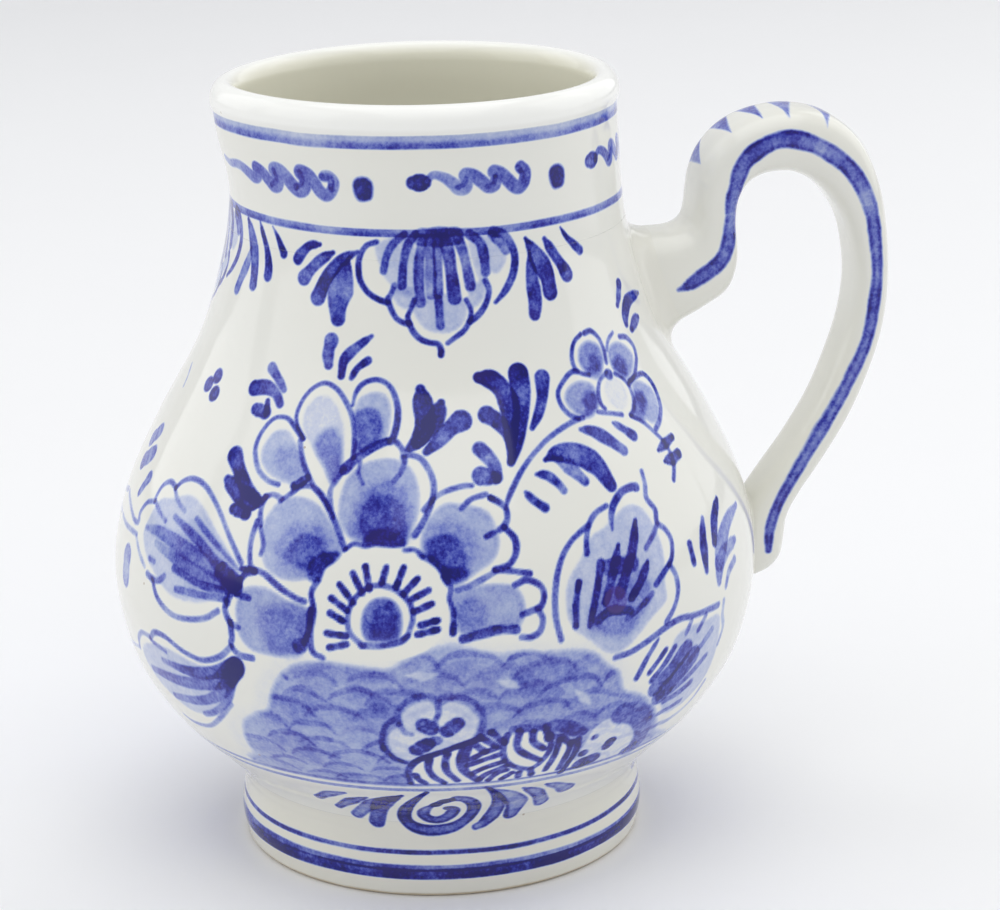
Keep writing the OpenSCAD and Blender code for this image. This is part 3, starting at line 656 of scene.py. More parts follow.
def fading_squiggle(p):
    """The same ribbon where the brush ran on and dried out."""
    p.line((2.3, 2.7, 2.5, 2.3), .52, -60, 84.4, -56.5, 83.8, -53.5, 84.2, -50.5, 84.2, -47.8, 83.4,
           -45.3, 82.5, -43.6, 82.8, -42.7, 84.2, -43.8, 84.8, -41.5, 84, -39.6, 82.6, -38, 81.5,
           -36.6, 81.8, -36.2, 83.5, -37.6, 85.2, -35.6, 85.2, -33.6, 83.8, -32, 82.3, -30.3, 81.4,
           -28.8, 81.9, -28.4, 84, -29.8, 85.7, -27.6, 85.2, -26, 83.6, -24.6, 81.8, -23, 80.9,
           -21.6, 82, -21, 84, -22.2, 85.2, -23.3, 85.2, edge=0, violet=.2)
    p.line(1.3, .4, -38.6, 81.6, -36.9, 83, -37.6, 85.2)
    p.line(1.4, .45, -31, 82, -29.2, 83.4, -29.9, 85.6)
    p.line(1.6, .45, -24, 85, -21.9, 84.8, -21.6, 82.4)


def collar_band(p):
    """The ribbons and blobs that run round the collar."""
    p.place()
    fading_squiggle(p)
    for n in range(5):
        p.place(dx=46 * n)
        squiggle(p)
    for n in range(6):
        p.place(dx=46 * n - 14.1)
        p.wash(.95, -2.2, 84, -1.2, 85.3, .8, 85.4, 2.1, 84.2, 2.2, 82.2, 1.6, 80.6, -.8, 80.2,
               -1.9, 81.6, soft=.35)
    p.place()


def paint_body(p):
    """Everything that is painted on the foot, the belly and the collar."""
    p.ring(93.2, 3, .42, 15, low_edge=.6, top_edge=-.3)
    p.ring(73.2, 1.7, .5, 3, low_edge=.25)
    p.ring(-23.4, 1, .38, 5)
    p.ring(-25.6, 1.2, .42, 7, low_edge=.1)
    p.ring(-48.6, 1, .8, 9)
    p.ring(-52.2, 1.4, .7, 11)
    p.ring(-53.8, 2.4, 1.05, 13, low_edge=.15)
    p.place(size=1.1, pivot=(3, -14))
    p.wash(.06, *CLOUD, soft=1.6, edge=0)
    p.place()
    cloud(p, 4)
    pansies(p)
    left_petals(p)
    right_petals(p)
    centre_petal(p)
    top_petals(p)
    flower_heart(p)
    middle_leaves(p)
    small_strokes(p)
    four_petal_flower(p)
    side_strokes(p)
    right_tulip(p)
    right_low_bud(p)
    left_tulip(p)
    left_low_bud(p)
    far_left_strokes(p)
    for n in (-1, 0, 2):
        p.place(dx=71.5 * n)
        palmette(p)
    for n in (0, -2):
        p.place(dx=71.5 * n)
        neck_leaves_left(p)
        neck_leaves_right(p)
        neck_leaves_far(p)
    p.place(dx=-71.5)
    neck_leaves_left(p)
    for n in range(4):
        p.place(dx=71.5 * n, strength=1.3)
        foot_scroll(p)
    paint_back(p)
    p.place()
    collar_band(p)


def paint_back(p):
    """The far side carries the same flowers, laid out afresh."""
    p.place(dx=-128, size=.98, flip=-1, pivot=(0, 8))
    for motif in (left_petals, right_petals, centre_petal, top_petals, flower_heart, middle_leaves,
                  left_tulip, small_strokes, four_petal_flower, right_tulip):
        motif(p)
    p.place(dx=-128)
    cloud(p, 21)
    p.place(dx=-128, flip=-1)
    left_low_bud(p)
    right_low_bud(p)


# ---------------------------------------------------------------------------------------------
# The body's outline, in millimetres, and the skins that are spun from it.
# ---------------------------------------------------------------------------------------------
WALL = 3.3
FOOT_TOP = 11.5
COLLAR_Z = 90.0
BELLY_Z = 41.0                   # where the body is widest
SKIN_LOW, SKIN_TOP = 0.8, 107.0  # the painted skin runs from the foot's edge to the rim
CHART_TURN = math.radians(9)     # the middle of the painted front lies this far round from -Y
OUTLINE = ((28.5, .8), (29, 3.8), (28.5, 8.2), (28.7, 10), (29.3, 11.5), (30.9, 13.7), (33.4, 16.2),
           (38.9, 22), (43.5, 30), (45.5, 41), (43.6, 51.5), (38.8, 62), (32.1, 74), (28.5, 85),
           (27.1, 93), (26.6, 102.5), (26.45, 105.6), (26.78, 107))
BEAD_R, BEAD_Z, BEAD_A, BEAD_B = 24.9, 107.4, 1.9, 2.6
LIP_PULL, LIP_SPREAD, LIP_FOOT_Z = 2.5, math.radians(34), 93.0
RECESS_R, RECESS_H, FLOOR_TOP = 24.6, 3.5, 7.0
DISC_R = 25.2                    # the floor disc, and the step inside the foot that it lies in
TUCK = 0.02                      # how far an edge lies under the skin of the piece that covers it
GRID = 0.24          # spacing of the painted skins, in chart millimetres
AROUND = 4 * round(PERIOD / GRID / 4)


class Outline:
    """The outer profile by height, by chart row, and offset inward for the wall's inner face."""

    def __init__(self):
        curve = smooth_curve(OUTLINE, 120)
        self.r, self.z = curve[:, 0], curve[:, 1]
        steps = np.hypot(*np.diff(curve, axis=0).T)
        rows = np.concatenate([[0], np.cumsum(steps * 2 / (self.r[1:] + self.r[:-1]))]) * BELLY_R
        self.v = rows - np.interp(BELLY_Z, self.z, rows)
        slope = np.gradient(curve, axis=0)
        normal = np.stack([-slope[:, 1], slope[:, 0]], 1) / np.linalg.norm(slope, axis=1)[:, None]
        self.inner = curve + WALL * normal

    def row(self, z):
        """The chart row at a height."""
        return float(np.interp(z, self.z, self.v))

    def radius(self, z):
        return np.interp(z, self.z, self.r)

    def rows(self, low, high):
        """Chart rows between two heights, about one grid step apart."""
        a, b = self.row(low), self.row(high)
        return np.linspace(a, b, max(2, round((b - a) / GRID) + 1))

    def at(self, v):
        """Radius and height at some chart rows."""
        return np.stack([np.interp(v, self.v, self.r), np.interp(v, self.v, self.z)], 1)

    def inside(self, high, low, count):
        """Points down the inner face of the wall."""
        z = np.linspace(high, low, count)
        return np.stack([np.interp(z, self.inner[:, 1], self.inner[:, 0]), z], 1)


outline = Outline()


def lip_radius(r, z, angle):
    """The radius once the lip is pulled out of the round, on -X."""
    rise = ease((z - LIP_FOOT_Z) / (BEAD_Z - LIP_FOOT_Z))
    away = np.abs((angle + math.pi / 2 + math.pi) % (2 * math.pi) - math.pi)
    return r + LIP_PULL * rise * np.exp(-(away / LIP_SPREAD) ** 1.5)


def make_mesh(name, points, faces, caps=(), flat=()):
    """A smooth mesh from a table of points and one of quads; caps and the faces in flat stay flat."""
    mesh = bpy.data.meshes.new(name)
    mesh.vertices.add(len(points))
    mesh.vertices.foreach_set("co", np.ascontiguousarray(points, dtype=np.float32).ravel() * MM)
    corners = np.concatenate([faces.ravel()] + [np.asarray(c) for c in caps]).astype(np.int32)
    sizes = np.concatenate([np.full(len(faces), faces.shape[1]), [len(c) for c in caps]])
    starts = np.concatenate([[0], np.cumsum(sizes)[:-1]]).astype(np.int32)
    mesh.loops.add(len(corners))
    mesh.loops.foreach_set("vertex_index", corners)
    mesh.polygons.add(len(sizes))
    mesh.polygons.foreach_set("loop_start", starts)
    smooth = np.ones(len(sizes), bool)
    smooth[len(faces):] = False
    smooth[np.asarray(flat, int)] = False
    mesh.polygons.foreach_set("use_smooth", smooth)
    mesh.update(calc_edges=True)
    piece = bpy.data.objects.new(name, mesh)
    bpy.context.scene.collection.objects.link(piece)
    return piece


def paint_mesh(piece, ink, violet, inside):
    """Stores the painting on a piece, one value of each kind for every point."""
    for name, values in (("ink", ink), ("violet", violet), ("inside", inside)):
        layer = piece.data.attributes.new(name, "FLOAT", "POINT")
        layer.data.foreach_set("value", np.ascontiguousarray(values, dtype=np.float32).ravel())


def grid_faces(rows, cols, wrap_rows, wrap_cols):
    """Quads over a grid of points, closed on itself either way."""
    i = np.arange(rows if wrap_rows else rows - 1)
    j = np.arange(cols if wrap_cols else cols - 1)
    i, j = np.meshgrid(i, j, indexing="ij")
    k, n = (i + 1) % rows, (j + 1) % cols
    return np.stack([i * cols + j, i * cols + n, k * cols + n, k * cols + j], -1).reshape(-1, 4)


def spin(name, profile, angles, whole, ink, violet, inner_from=0.0, hidden=()):
    """Spins a closed profile of (radius, height) points through some angles, as one closed solid."""
    r, z = profile[:, :1], profile[:, 1:]
    reach = lip_radius(r, z, angles[None, :])
    if not whole:
        reach[:, [0, -1]] -= TUCK
    points = np.stack([reach * np.sin(angles), -reach * np.cos(angles), z + 0 * reach], -1)
    rows, cols = len(profile), len(angles)
    caps = []
    if not whole:
        caps = [np.arange(rows) * cols, np.arange(rows)[::-1] * cols + cols - 1]
    level = np.abs(z - np.roll(z, -1, 0))[:, 0] < 1e-6
    level[list(hidden)] = True
    across = cols if whole else cols - 1
    flat = (np.flatnonzero(level)[:, None] * across + np.arange(across)).ravel()
    piece = make_mesh(name, points.reshape(-1, 3), grid_faces(rows, cols, True, whole), caps, flat)
    inks = np.zeros((3, rows, cols))
    inks[0, :len(ink)] = ink
    inks[1, :len(ink)] = violet
    inks[2, len(ink):] = ease(np.arange(rows - len(ink)) / (rows - len(ink)) * 4 - inner_from)[:, None]
    paint_mesh(piece, *inks)
    return piece


# ---------------------------------------------------------------------------------------------
# The handle: a flattened strap, drawn by its ribs [outer x, outer z, inner x, inner z].
# ---------------------------------------------------------------------------------------------
RIBS = ((26.5, 86.2, 29.0, 69.6), (31.5, 86.1, 34.5, 72.7), (34.8, 86.3, 38.8, 75.0),
        (36.5, 87.3, 42.2, 77.4), (37.1, 89.0, 43.6, 81.6), (37.4, 91.2, 43.3, 87.0),
        (37.9, 93.9, 43.7, 90.2), (39.2, 97.0, 45.0, 92.4), (42.2, 100.2, 47.0, 93.5),
        (46.4, 102.1, 49.3, 93.8), (51.6, 102.7, 51.9, 93.5), (57.0, 101.4, 54.8, 91.9),
        (61.4, 97.6, 57.5, 89.0), (64.1, 91.6, 59.4, 85.5), (65.3, 85.0, 60.4, 81.2),
        (65.6, 77.7, 60.7, 76.8), (64.9, 71.0, 60.0, 71.8), (63.0, 64.5, 58.3, 66.4),
        (60.0, 57.7, 55.6, 60.0), (56.2, 51.5, 52.0, 54.1), (53.0, 46.8, 48.4, 49.3),
        (51.2, 43.3, 45.5, 45.2), (50.8, 40.0, 43.8, 41.2), (50.3, 37.4, 43.2, 38.6),
        (48.9, 35.7, 43.0, 37.0), (46.8, 34.8, 43.0, 36.0))
STRAP_W, STRAP_END_W, SECTION_POWER = 12.5, 9.5, 3.2
RIB_STEPS = 22
SECTION_N = 192
STRIPE = (34.3, 78.5, 35.6, 79, 37.6, 80.2, 40.2, 82.1, 41.4, 84.4, 42, 87.9, 42.4, 91.5, 43.5, 95.6,
          46.1, 97.9, 49.6, 99, 53.9, 97.9, 58.3, 94.9, 60.8, 91.5, 62.3, 87.5, 62.9, 83.2, 63.2, 79.5,
          62.9, 75.2, 61.9, 69.4, 59.6, 64, 57.2, 59.4, 54.2, 54.4, 51.6, 50.1, 49.2, 45.8, 48, 42.1,
          47.8, 38.7)
STRIPE_W = (.7, 1.4, 2.1, 2.2, 2.2, 2.3, 2.4, 2.5, 2.5, 2.4, 2.4, 2.3, 2.2, 2, 1.7, 1.7, 1.8, 1.8, 1.8,
            1.8, 1.7, 1.6, 1.6, 1.5, 1.2)
# Small triangles over the arch: where the base starts and ends and where the tip is, in ribs, and
# how far across the strap the tip reaches.
TRIANGLES = ((6.2, 7.4, 6.5, -2.4), (7.6, 8.4, 8, -4), (8.5, 9.25, 9.05, -4.2), (9.5, 10.3, 9.75, -5.2),
             (10.5, 11.4, 10.8, -5.6))


def section():
    """Evenly spaced points round the strap's rounded, nearly square section."""
    turn = np.linspace(0, 2 * math.pi, 4001)
    c = np.sign(np.cos(turn)) * np.abs(np.cos(turn)) ** (2 / SECTION_POWER)
    s = np.sign(np.sin(turn)) * np.abs(np.sin(turn)) ** (2 / SECTION_POWER)
    run = np.concatenate([[0], np.cumsum(np.hypot(np.diff(c), np.diff(s)))])
    even = np.linspace(0, run[-1], SECTION_N, endpoint=False)
    return np.interp(even, run, c), np.interp(even, run, s)


def strap_rings():
    """Rings of points round the strap, from the neck to the belly, and their place along it."""
    ribs = smooth_curve(RIBS, RIB_STEPS)
    share = np.linspace(0, 1, len(ribs))
    width = STRAP_W - (STRAP_W - STRAP_END_W) * share ** 3
    c, s = section()
    mid, half = (ribs[:, :2] + ribs[:, 2:]) / 2, (ribs[:, :2] - ribs[:, 2:]) / 2
    flat = mid[:, None] + half[:, None] * c[None, :, None]
    return np.stack([flat[..., 0], width[:, None] / 2 * s, flat[..., 1]], -1), share * (len(RIBS) - 1)


def stripe_ink(x, y, z):
    """The wavy stripe that runs along both sides of the handle."""
    p = smooth_curve(pairs(STRIPE), 6)
    knots = np.linspace(0, 1, len(p))
    half = np.interp(knots, np.linspace(0, 1, len(STRIPE_W)), STRIPE_W) / 2
    rng = np.random.default_rng(8)
    wobble = rng.normal(0, 1, len(p))
    half = half + 0.09 * np.convolve(wobble, np.ones(3) / 3, "same")
    load = 1 + 0.28 * np.convolve(rng.normal(0, 1, len(p)), np.ones(5) / 5, "same")
    depth = np.full(x.shape, -9.0)
    tone = np.ones(x.shape)
    for a, b, ha, hb, la in zip(p, p[1:], half, half[1:], load):
        d = b - a
        t = np.clip(((x - a[0]) * d[0] + (z - a[1]) * d[1]) / max(d @ d, 1e-9), 0, 1)
        inside = ha + (hb - ha) * t - np.hypot(x - a[0] - d[0] * t, z - a[1] - d[1] * t)
        tone = np.where(inside > depth, la, tone)
        depth = np.maximum(depth, inside)
    side = ease((np.abs(y) - 3.4) / 0.6)
    edge = 0.85 + 0.35 * np.exp(-((depth - 0.3) / 0.3) ** 2)
    return ease(0.5 + depth / 0.5) * side * 0.66 * edge * tone


def paint_strap(rings, place):
    """The stripe on both sides of the strap, and the row of small triangles over its arch."""
    y = rings[..., 1]
    ink = stripe_ink(rings[..., 0], y, rings[..., 2])
    ribs = smooth_curve(RIBS, RIB_STEPS)
    steps = np.hypot(*np.diff(ribs[:, :2], axis=0).T)
    run = np.concatenate([[0], np.cumsum(steps)])
    along = run[:, None] + 0 * y
    outer = ease(outer_side(rings) * 3)
    for start, end, tip, reach in TRIANGLES:
        a, b, c = np.interp((start, end, tip), place, run)
        depth = depth_inside(np.array([(a, 5.2), (b, 5.2), (c, reach)]), along, y)
        shade = 0.42 + 0.42 * ease((along - a) / (b - a))
        ink = np.maximum(ink, ease(0.5 + depth / 0.4) * outer * shade)
    return ink


def outer_side(rings):
    """1 on the strap's outer face, falling to -1 on the face towards the body."""
    return section()[0][None, :] + 0 * rings[..., 0]


def make_handle():
    """The strap as one closed solid, with both of its ends inside the body wall."""
    rings, place = strap_rings()
    rows, cols = rings.shape[:2]
    faces = grid_faces(rows, cols, False, True)
    caps = [np.arange(cols), (rows - 1) * cols + np.arange(cols)[::-1]]
    normals_out = faces[:, ::-1]
    piece = make_mesh("handle_strap", rings.reshape(-1, 3), normals_out, caps)
    blank = np.zeros(rings.shape[:2])
    paint_mesh(piece, paint_strap(rings, place), blank + 0.1, blank)
    return piece


def fillet_rows(rings, reach, spread):
    """Rings of points over the slip that fills the corner between the body and a root of the strap."""
    inward = rings[:1] * (0.9, 1, 1)
    rings = np.concatenate([inward, rings])
    radius = outline.radius(rings[..., 2])
    proud = np.hypot(rings[..., 0], rings[..., 1]) - radius
    meet = np.argmax(proud > 0, axis=0)
    cols = np.arange(rings.shape[1])
    before, after = proud[meet - 1, cols], proud[meet, cols]
    t = (before / (before - after))[:, None]
    corner = rings[meet - 1, cols] * (1 - t) + rings[meet, cols] * t
    steps = np.linalg.norm(np.diff(rings, axis=0), axis=2)
    run = np.concatenate([np.zeros((1, len(cols))), np.cumsum(steps, 0)])
    start = run[meet - 1, cols] + t[:, 0] * steps[meet - 1, cols]
    axes = [[np.interp(start[c] + reach, run[:, c], rings[:, c, k]) for c in cols] for k in range(3)]
    far = np.stack(axes, 1)
    centre = corner.mean(0)
    out = corner - centre
    outward = corner * (1, 1, 0) / np.linalg.norm(corner * (1, 1, 0), axis=1)[:, None]
    out -= outward * (out * outward).sum(1)[:, None]
    out /= np.linalg.norm(out, axis=1)[:, None]
    skirt = corner + out * spread

    def on_body(points, lift):
        angle = np.arctan2(points[:, 1], points[:, 0])
        r = outline.radius(points[:, 2]) + lift
        return np.stack([r * np.cos(angle), r * np.sin(angle), points[:, 2]], 1)

    far += (far.mean(0) - far) / np.linalg.norm(far.mean(0) - far, axis=1)[:, None] * 0.04
    rows = [on_body(skirt, -0.4), on_body(skirt, -0.04)]
    for t in np.linspace(0, 1, 15)[1:]:
        rows.append((1 - t) ** 2 * rows[1] + 2 * t * (1 - t) * corner + t * t * far)
    rows.append(far + (far.mean(0) - far) * 0.08)
    rows.append(on_body(corner + (centre - corner) * 0.2, -0.4))
    return np.stack(rows)


def make_slip(name, rings, reach, spread):
    """A concave fillet of slip round one root of the strap."""
    points = fillet_rows(rings, reach, spread)
    rows, cols = points.shape[:2]
    hidden = (0, rows - 3, rows - 2, rows - 1)
    flat = (np.array(hidden)[:, None] * cols + np.arange(cols)).ravel()
    faces = grid_faces(rows, cols, True, True)
    a, b, c = points[1, 0], points[1, 1], points[2, 0]
    outward = np.dot(np.cross(b - a, c - a), a - points[-1].mean(0)) > 0
    piece = make_mesh(name, points.reshape(-1, 3), faces if outward else faces[:, ::-1], (), flat)
    blank = np.zeros((rows, cols))
    paint_mesh(piece, stripe_ink(points[..., 0], points[..., 1], points[..., 2]), blank, blank)
    return piece


# ---------------------------------------------------------------------------------------------
# Materials
# ---------------------------------------------------------------------------------------------
def linear(c):
    """The linear light of one channel of a screen colour."""
    return ((c / 255 + 0.055) / 1.055) ** 2.4 if c > 10 else c / 255 / 12.92


def srgb(r, g, b):
    return linear(r), linear(g), linear(b), 1


class Nodes:
    """Short ways to add and join shader nodes."""

    def __init__(self, name):
        self.material = bpy.data.materials.new(name)
        self.material.use_nodes = True
        self.tree = self.material.node_tree
        self.shader = self.tree.nodes["Principled BSDF"]
        self.place = self.add("ShaderNodeTexCoord").outputs["Object"]

    def add(self, kind, **settings):
        node = self.tree.nodes.new(kind)
        for key, value in settings.items():
            setattr(node, key, value)
        return node

    def join(self, source, target):
        """Links a socket, or sets a plain value."""
        if hasattr(source, "links"):
            self.tree.links.new(source, target)
        else:
            target.default_value = source

    def sum(self, kind, a, b, c=0.0):
        """One step of arithmetic."""
        node = self.add("ShaderNodeMath", operation=kind)
        for socket, value in zip(node.inputs, (a, b, c)):
            self.join(value, socket)
        return node.outputs[0]

    def clamp(self, value):
        return self.sum("MINIMUM", self.sum("MAXIMUM", value, 0.0), 1.0)

    def noise(self, size_mm, detail=2.0, rough=0.5, seed=0.0):
        node = self.add("ShaderNodeTexNoise", noise_dimensions="4D")
        self.join(self.place, node.inputs["Vector"])
        node.inputs["W"].default_value = seed
        node.inputs["Scale"].default_value = 1 / (size_mm * MM)
        node.inputs["Detail"].default_value = detail
        node.inputs["Roughness"].default_value = rough
        return node.outputs["Fac"]

    def ramp(self, value, stops):
        node = self.add("ShaderNodeValToRGB")
        for k, (at, colour) in enumerate(stops):
            stop = node.color_ramp.elements[k] if k < 2 else node.color_ramp.elements.new(at)
            stop.position = at
            stop.color = colour
        self.join(value, node.inputs["Fac"])
        return node.outputs["Color"]

    def mix(self, share, a, b, blend="MIX"):
        node = self.add("ShaderNodeMix", data_type="RGBA", blend_type=blend)
        self.join(share, node.inputs["Factor"])
        for socket, value in ((node.inputs["A"], a), (node.inputs["B"], b)):
            self.join(value, socket)
        return node.outputs["Result"]

    def attribute(self, name):
        return self.add("ShaderNodeAttribute", attribute_name=name).outputs["Fac"]


GLAZE = srgb(236, 236, 230)
WARM_GLAZE = srgb(232, 229, 214)
INNER_GLAZE = srgb(240, 238, 221)
# A paler colour painted along the rim as a highlight, where the light from above falls on it.
RIM_HIGHLIGHT = srgb(251, 251, 247)
SPECK = srgb(150, 120, 84)
BARE_BODY = srgb(205, 192, 170)
RIM_Z, RIM_FADE = 105, 2.2       # where the painted highlight along the rim starts, and how far up it is complete
INK_FULL = 1.3                   # the density of ink at the end of the ramp
INK_STOPS = ((0, GLAZE), (.12, srgb(205, 211, 229)), (.25, srgb(171, 183, 219)), (.5, srgb(112, 126, 201)),
             (.71, srgb(58, 70, 176)), (.88, srgb(22, 24, 143)), (1.1, srgb(8, 8, 104)))
VIOLET = srgb(118, 84, 160)


def glaze(name, warm=0.0, bare_edge=False, painted=True):
    """Clear glossy glaze over white porcelain, with cobalt painted under it."""
    n = Nodes(name)
    cloudy = n.noise(26, 2, 0.5, 1)
    base = n.mix(n.sum("MULTIPLY_ADD", cloudy, 0.5, warm - 0.1), GLAZE, WARM_GLAZE)
    height = n.add("ShaderNodeSeparateXYZ")
    n.join(n.place, height.inputs[0])
    # Painted highlight: from RIM_Z upward the glaze is mixed towards a paler colour.
    rim = n.sum("MULTIPLY_ADD", height.outputs["Z"], 1 / (RIM_FADE * MM), -RIM_Z / RIM_FADE)
    rim = n.clamp(rim)
    base = n.mix(rim, base, RIM_HIGHLIGHT)
    base = n.mix(n.attribute("inside"), base, INNER_GLAZE)
    if painted:
        mottle = n.noise(1.5, 3, 0.62, 3)
        grain = n.noise(0.42, 2, 0.6, 5)
        drift = n.noise(5.5, 2, 0.5, 7)
        uneven = n.sum("MULTIPLY_ADD", mottle, 1.2, 0.4)
        uneven = n.sum("MULTIPLY", uneven, n.sum("MULTIPLY_ADD", grain, 0.9, 0.55))
        uneven = n.sum("MULTIPLY", uneven, n.sum("MULTIPLY_ADD", drift, 0.5, 0.75))
        density = n.sum("MULTIPLY", n.attribute("ink"), uneven)
        ink = n.ramp(n.sum("DIVIDE", density, INK_FULL), [(at / INK_FULL, c) for at, c in INK_STOPS])
        tint = n.sum("MULTIPLY_ADD", n.noise(9, 2, 0.5, 11), 1.6, -0.75)
        tint = n.sum("MAXIMUM", tint, n.attribute("violet"))
        tint = n.sum("MULTIPLY", n.clamp(tint), 0.45)
        thin = n.sum("MINIMUM", n.sum("MULTIPLY", density, 1.6), 1.0)
        ink = n.mix(n.sum("MULTIPLY", tint, thin), ink, n.mix(0.6, ink, VIOLET))
        covered = n.sum("MINIMUM", n.sum("MULTIPLY", density, 8.0), 1.0)
        base = n.mix(covered, base, ink)
    dots = n.add("ShaderNodeTexVoronoi", feature="F1")
    n.join(n.place, dots.inputs["Vector"])
    dots.inputs["Scale"].default_value = 1 / (7 * MM)
    speck = n.sum("LESS_THAN", dots.outputs["Distance"], 0.028)
    some = n.add("ShaderNodeSeparateColor")
    n.join(dots.outputs["Color"], some.inputs[0])
    speck = n.sum("MULTIPLY", speck, n.sum("GREATER_THAN", some.outputs[0], 0.72))
    base = n.mix(n.sum("MULTIPLY", speck, 0.55), base, SPECK)
    gloss = n.sum("MULTIPLY_ADD", n.noise(4, 3, 0.6, 13), 0.06, 0.06)
    if bare_edge:
        wavy = n.sum("MULTIPLY_ADD", n.noise(3, 2, 0.5, 17), 0.4 * MM, 0.3 * MM)
        bare = n.sum("SUBTRACT", wavy, height.outputs["Z"])
        bare = n.clamp(n.sum("MULTIPLY_ADD", bare, 1 / (0.3 * MM), 0.5))
        sandy = n.mix(n.noise(0.6, 3, 0.7, 19), BARE_BODY, srgb(198, 184, 158))
        base = n.mix(bare, base, sandy)
        gloss = n.sum("MULTIPLY_ADD", bare, 0.55, gloss)
    n.join(base, n.shader.inputs["Base Color"])
    n.join(gloss, n.shader.inputs["Roughness"])
    n.shader.inputs["IOR"].default_value = 1.5
    n.shader.inputs["Specular IOR Level"].default_value = 0.4
    n.shader.inputs["Coat Weight"].default_value = 0.15
    n.shader.inputs["Coat Roughness"].default_value = 0.04
    bump = n.add("ShaderNodeBump")
    bump.inputs["Strength"].default_value = 1.0
    bump.inputs["Distance"].default_value = 0.03 * MM
    waves = n.sum("MULTIPLY_ADD", n.noise(0.8, 2, 0.5, 23), 0.12, n.noise(4.5, 1, 0.4, 29))
    n.join(waves, bump.inputs["Height"])
    n.join(bump.outputs[0], n.shader.inputs["Normal"])
    return n.material


def studio_paper(name, colour):
    """Matt paper with a faint fibre."""
    n = Nodes(name)
    fibre = n.noise(60, 3, 0.6, 31)
    n.join(n.mix(fibre, colour, tuple(c * 0.985 for c in colour[:3]) + (1,)), n.shader.inputs["Base Color"])
    n.shader.inputs["Roughness"].default_value = 0.85
    n.shader.inputs["Specular IOR Level"].default_value = 0.2
    return n.material


# ---------------------------------------------------------------------------------------------
# The pieces
# ---------------------------------------------------------------------------------------------
def finish_piece(piece, slot, material, *nodes):
    """Gives a piece its glaze and its place on the root, and hides the CAD parts of its nodes."""
    piece.data.materials.append(material)
    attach(piece, "root")
    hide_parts(*nodes)


def make_body():
    """The foot, both halves of the belly and the collar, cut from one painted outline."""
    angles = np.linspace(-math.pi, math.pi, AROUND, endpoint=False)
    foot_rows = outline.rows(SKIN_LOW, FOOT_TOP)
    belly_rows = outline.rows(FOOT_TOP, COLLAR_Z)
    collar_rows = outline.rows(COLLAR_Z, SKIN_TOP)
    rows = np.concatenate([foot_rows, belly_rows[1:], collar_rows[1:]])
    spread = np.clip(BELLY_R / outline.at(rows)[:, 0], 1, 1.7)
    chart = Chart(BELLY_R * (angles + CHART_TURN), rows, spread)
    paint_body(chart)
    ink, violet = chart.ink, chart.violet
    a, b = len(foot_rows), len(foot_rows) + len(belly_rows) - 1

    def tongue(row, inner_r):
        """The edge that a piece tucks in just under the skin of the piece above it."""
        r, z = outline.at([row])[0]
        return np.array([[r - TUCK, z], [inner_r, z]])

    edge = np.radians(np.linspace(-90, 0, 5))[:-1]
    foot_edge = np.stack([27.7 + .8 * np.cos(edge), .8 + .8 * np.sin(edge)], 1)
    sole = np.array([[25.8, 0], [25.2, .15], [24.8, .6]])
    under = np.array([[RECESS_R, 1.4], [RECESS_R, RECESS_H], [DISC_R, RECESS_H], [DISC_R, 6.5]])
    foot_profile = np.vstack([outline.at(foot_rows), tongue(belly_rows[1], DISC_R), under[::-1], sole[::-1],
                              [[27.0, 0]], foot_edge])
    foot = spin("foot_skin", foot_profile, angles, True, ink[:a + 1], violet[:a + 1], 9)

    inner = outline.inside(COLLAR_Z, 16.5, 46)
    floor = np.array([[31.5, 15.0], [28.5, 13.4], [DISC_R, 12.6], [DISC_R, FOOT_TOP]])
    joint = tongue(collar_rows[1], inner[0, 0] + 1)
    belly_profile = np.vstack([outline.at(belly_rows), joint, inner, floor])
    lip = (len(belly_rows) + 1,)
    columns = (("belly_front", np.arange(AROUND // 4 - 1, 3 * AROUND // 4 + 2)),
               ("belly_back", np.r_[3 * AROUND // 4 - 1:AROUND, 0:AROUND // 4 + 2]))
    belly_ink, belly_violet = ink[a - 1:b + 1], violet[a - 1:b + 1]
    halves = [spin(name, belly_profile, angles[cols], False, belly_ink[:, cols], belly_violet[:, cols],
                   hidden=lip) for name, cols in columns]

    bead = np.radians(np.linspace(-9, 180, 40))[1:]
    bead = np.stack([BEAD_R + BEAD_A * np.cos(bead), BEAD_Z + BEAD_B * np.sin(bead)], 1)
    throat = outline.inside(102, COLLAR_Z, 12)
    throat[:, 0] = np.minimum(throat[:, 0], 23.35)
    throat = np.vstack([[[23.03, 106], [23.08, 104.5]], throat])
    collar_profile = np.vstack([outline.at(collar_rows), bead, throat])
    collar = spin("collar_skin", collar_profile, angles, True, ink[b - 1:], violet[b - 1:], 1.6)
    return foot, halves, collar


def make_floor_inside():
    """The glazed floor of the jug, dished and running up into the wall."""
    profile = [(0, 0)] + [(26.4 * t, 5.3 * t ** 4.5) for t in np.linspace(0.06, 1, 26)]
    dish = [(r, FLOOR_TOP + 1.0 + z) for r, z in profile[1:]]
    profile = np.array(dish + [(DISC_R, RECESS_H), (1.5, RECESS_H)])
    angles = np.linspace(-math.pi, math.pi, 180, endpoint=False)
    rows, cols = len(profile), len(angles)
    r, z = profile[:, :1], profile[:, 1:]
    points = np.stack([r * np.sin(angles), -r * np.cos(angles), z + 0 * r * angles], -1).reshape(-1, 3)
    faces = grid_faces(rows, cols, False, True)[:, ::-1]
    caps = [np.arange(cols), (rows - 1) * cols + np.arange(cols)[::-1]]
    piece = make_mesh("inner_floor", points, faces, caps)
    paint_mesh(piece, *np.zeros((2, len(points))), np.ones(len(points)))
    return piece


painted_glaze = glaze("painted_glaze", warm=0.0)
foot_glaze = glaze("foot_glaze", warm=0.45, bare_edge=True)
handle_glaze = glaze("handle_glaze", warm=0.1)
slip_glaze = glaze("slip_glaze", warm=0.25)
base_glaze = glaze("base_glaze", warm=0.5, painted=False)

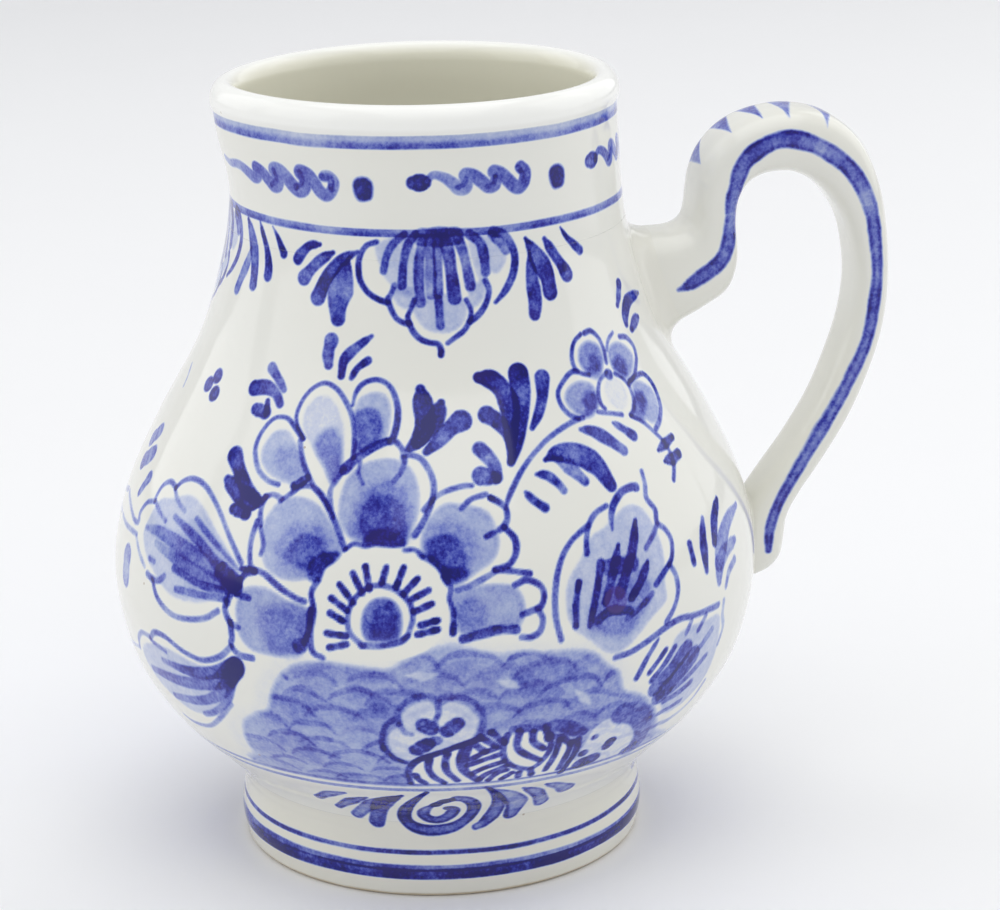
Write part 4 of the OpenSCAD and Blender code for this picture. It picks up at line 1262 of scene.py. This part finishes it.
foot, halves, collar = make_body()
finish_piece(foot, "foot_glaze", foot_glaze, "foot_ring")
for half in halves:
    finish_piece(half, "painted_glaze", painted_glaze, "belly")
finish_piece(collar, "painted_glaze", painted_glaze, "collar")
finish_piece(make_handle(), "handle_glaze", handle_glaze, "handle")
rings, place = strap_rings()
upper = make_slip("upper_slip", rings[:len(rings) // 4], 3.6, 3.0)
lower = make_slip("lower_slip", rings[::-1][:len(rings) // 4], 2.2, 2.0)
finish_piece(upper, "slip_glaze", slip_glaze, "upper_lute")
finish_piece(lower, "slip_glaze", slip_glaze, "lower_lute")
finish_piece(make_floor_inside(), "base_glaze", base_glaze, "base_disc")

# ---------------------------------------------------------------------------------------------
# The camera, the sweep and the lights
# ---------------------------------------------------------------------------------------------
camera = bpy.data.objects.new("camera", bpy.data.cameras.new("camera"))
bpy.context.scene.collection.objects.link(camera)
camera.data.lens = 112.04
camera.data.sensor_width = 36
camera.data.clip_start = 0.01
heading, pitch, roll = math.radians(10.29), math.radians(-17.09), math.radians(-1.14)
camera.matrix_world = (Matrix.Translation((-0.06597, -0.4165, 0.18456)) @ Matrix.Rotation(-heading, 4, "Z")
                       @ Matrix.Rotation(math.pi / 2 + pitch, 4, "X") @ Matrix.Rotation(roll, 4, "Z"))
bpy.context.scene.camera = camera

bpy.context.scene.view_settings.view_transform = "Standard"
world = bpy.data.worlds.new("studio")
bpy.context.scene.world = world
world.use_nodes = True
world.node_tree.nodes["Background"].inputs[0].default_value = (0.97, 0.985, 1.0, 1)
world.node_tree.nodes["Background"].inputs[1].default_value = 0.49


def make_sweep():
    """A seamless sheet of pale paper: the floor, a wide curve and the wall behind."""
    bend, front, back, top = 0.6, -3.0, 1.4, 2.6
    curve = [(front, 0), (back - bend, 0)]
    for t in np.linspace(0, math.pi / 2, 25):
        curve.append((back - bend + bend * math.sin(t), bend - bend * math.cos(t)))
    curve.append((back, top))
    xs = np.linspace(-3, 3, 9)
    points = np.array([[(x, y, z) for x in xs] for y, z in curve]) / MM
    faces = grid_faces(len(curve), len(xs), False, False)
    sweep = make_mesh("paper_sweep", points.reshape(-1, 3), faces)
    sweep.data.materials.append(studio_paper("paper", srgb(246, 246, 247)))


make_sweep()


def softbox(name, at, size, power):
    """A white softbox turned towards the middle of the jug."""
    light = bpy.data.lights.new(name, "AREA")
    light.shape = "RECTANGLE"
    light.size, light.size_y = size
    light.energy = power
    lamp = bpy.data.objects.new(name, light)
    bpy.context.scene.collection.objects.link(lamp)
    lamp.location = at
    lamp.rotation_euler = (Vector(at) - Vector((0, 0, 0.06))).to_track_quat("Z", "Y").to_euler()


softbox("top_box", (0, 0, 1.1), (1.0, 1.0), 3.9)
softbox("front_box", (0, -0.75, 1.0), (1.0, 0.7), 2.1)
softbox("left_box", (-0.9, -0.15, 0.55), (0.7, 0.9), 1.4)
softbox("right_box", (0.9, 0, 0.5), (0.7, 0.9), 1.75)
softbox("left_back_box", (-0.8, 0.6, 0.5), (0.7, 0.9), 1.55)
softbox("right_back_box", (0.8, 0.6, 0.5), (0.7, 0.9), 1.5)
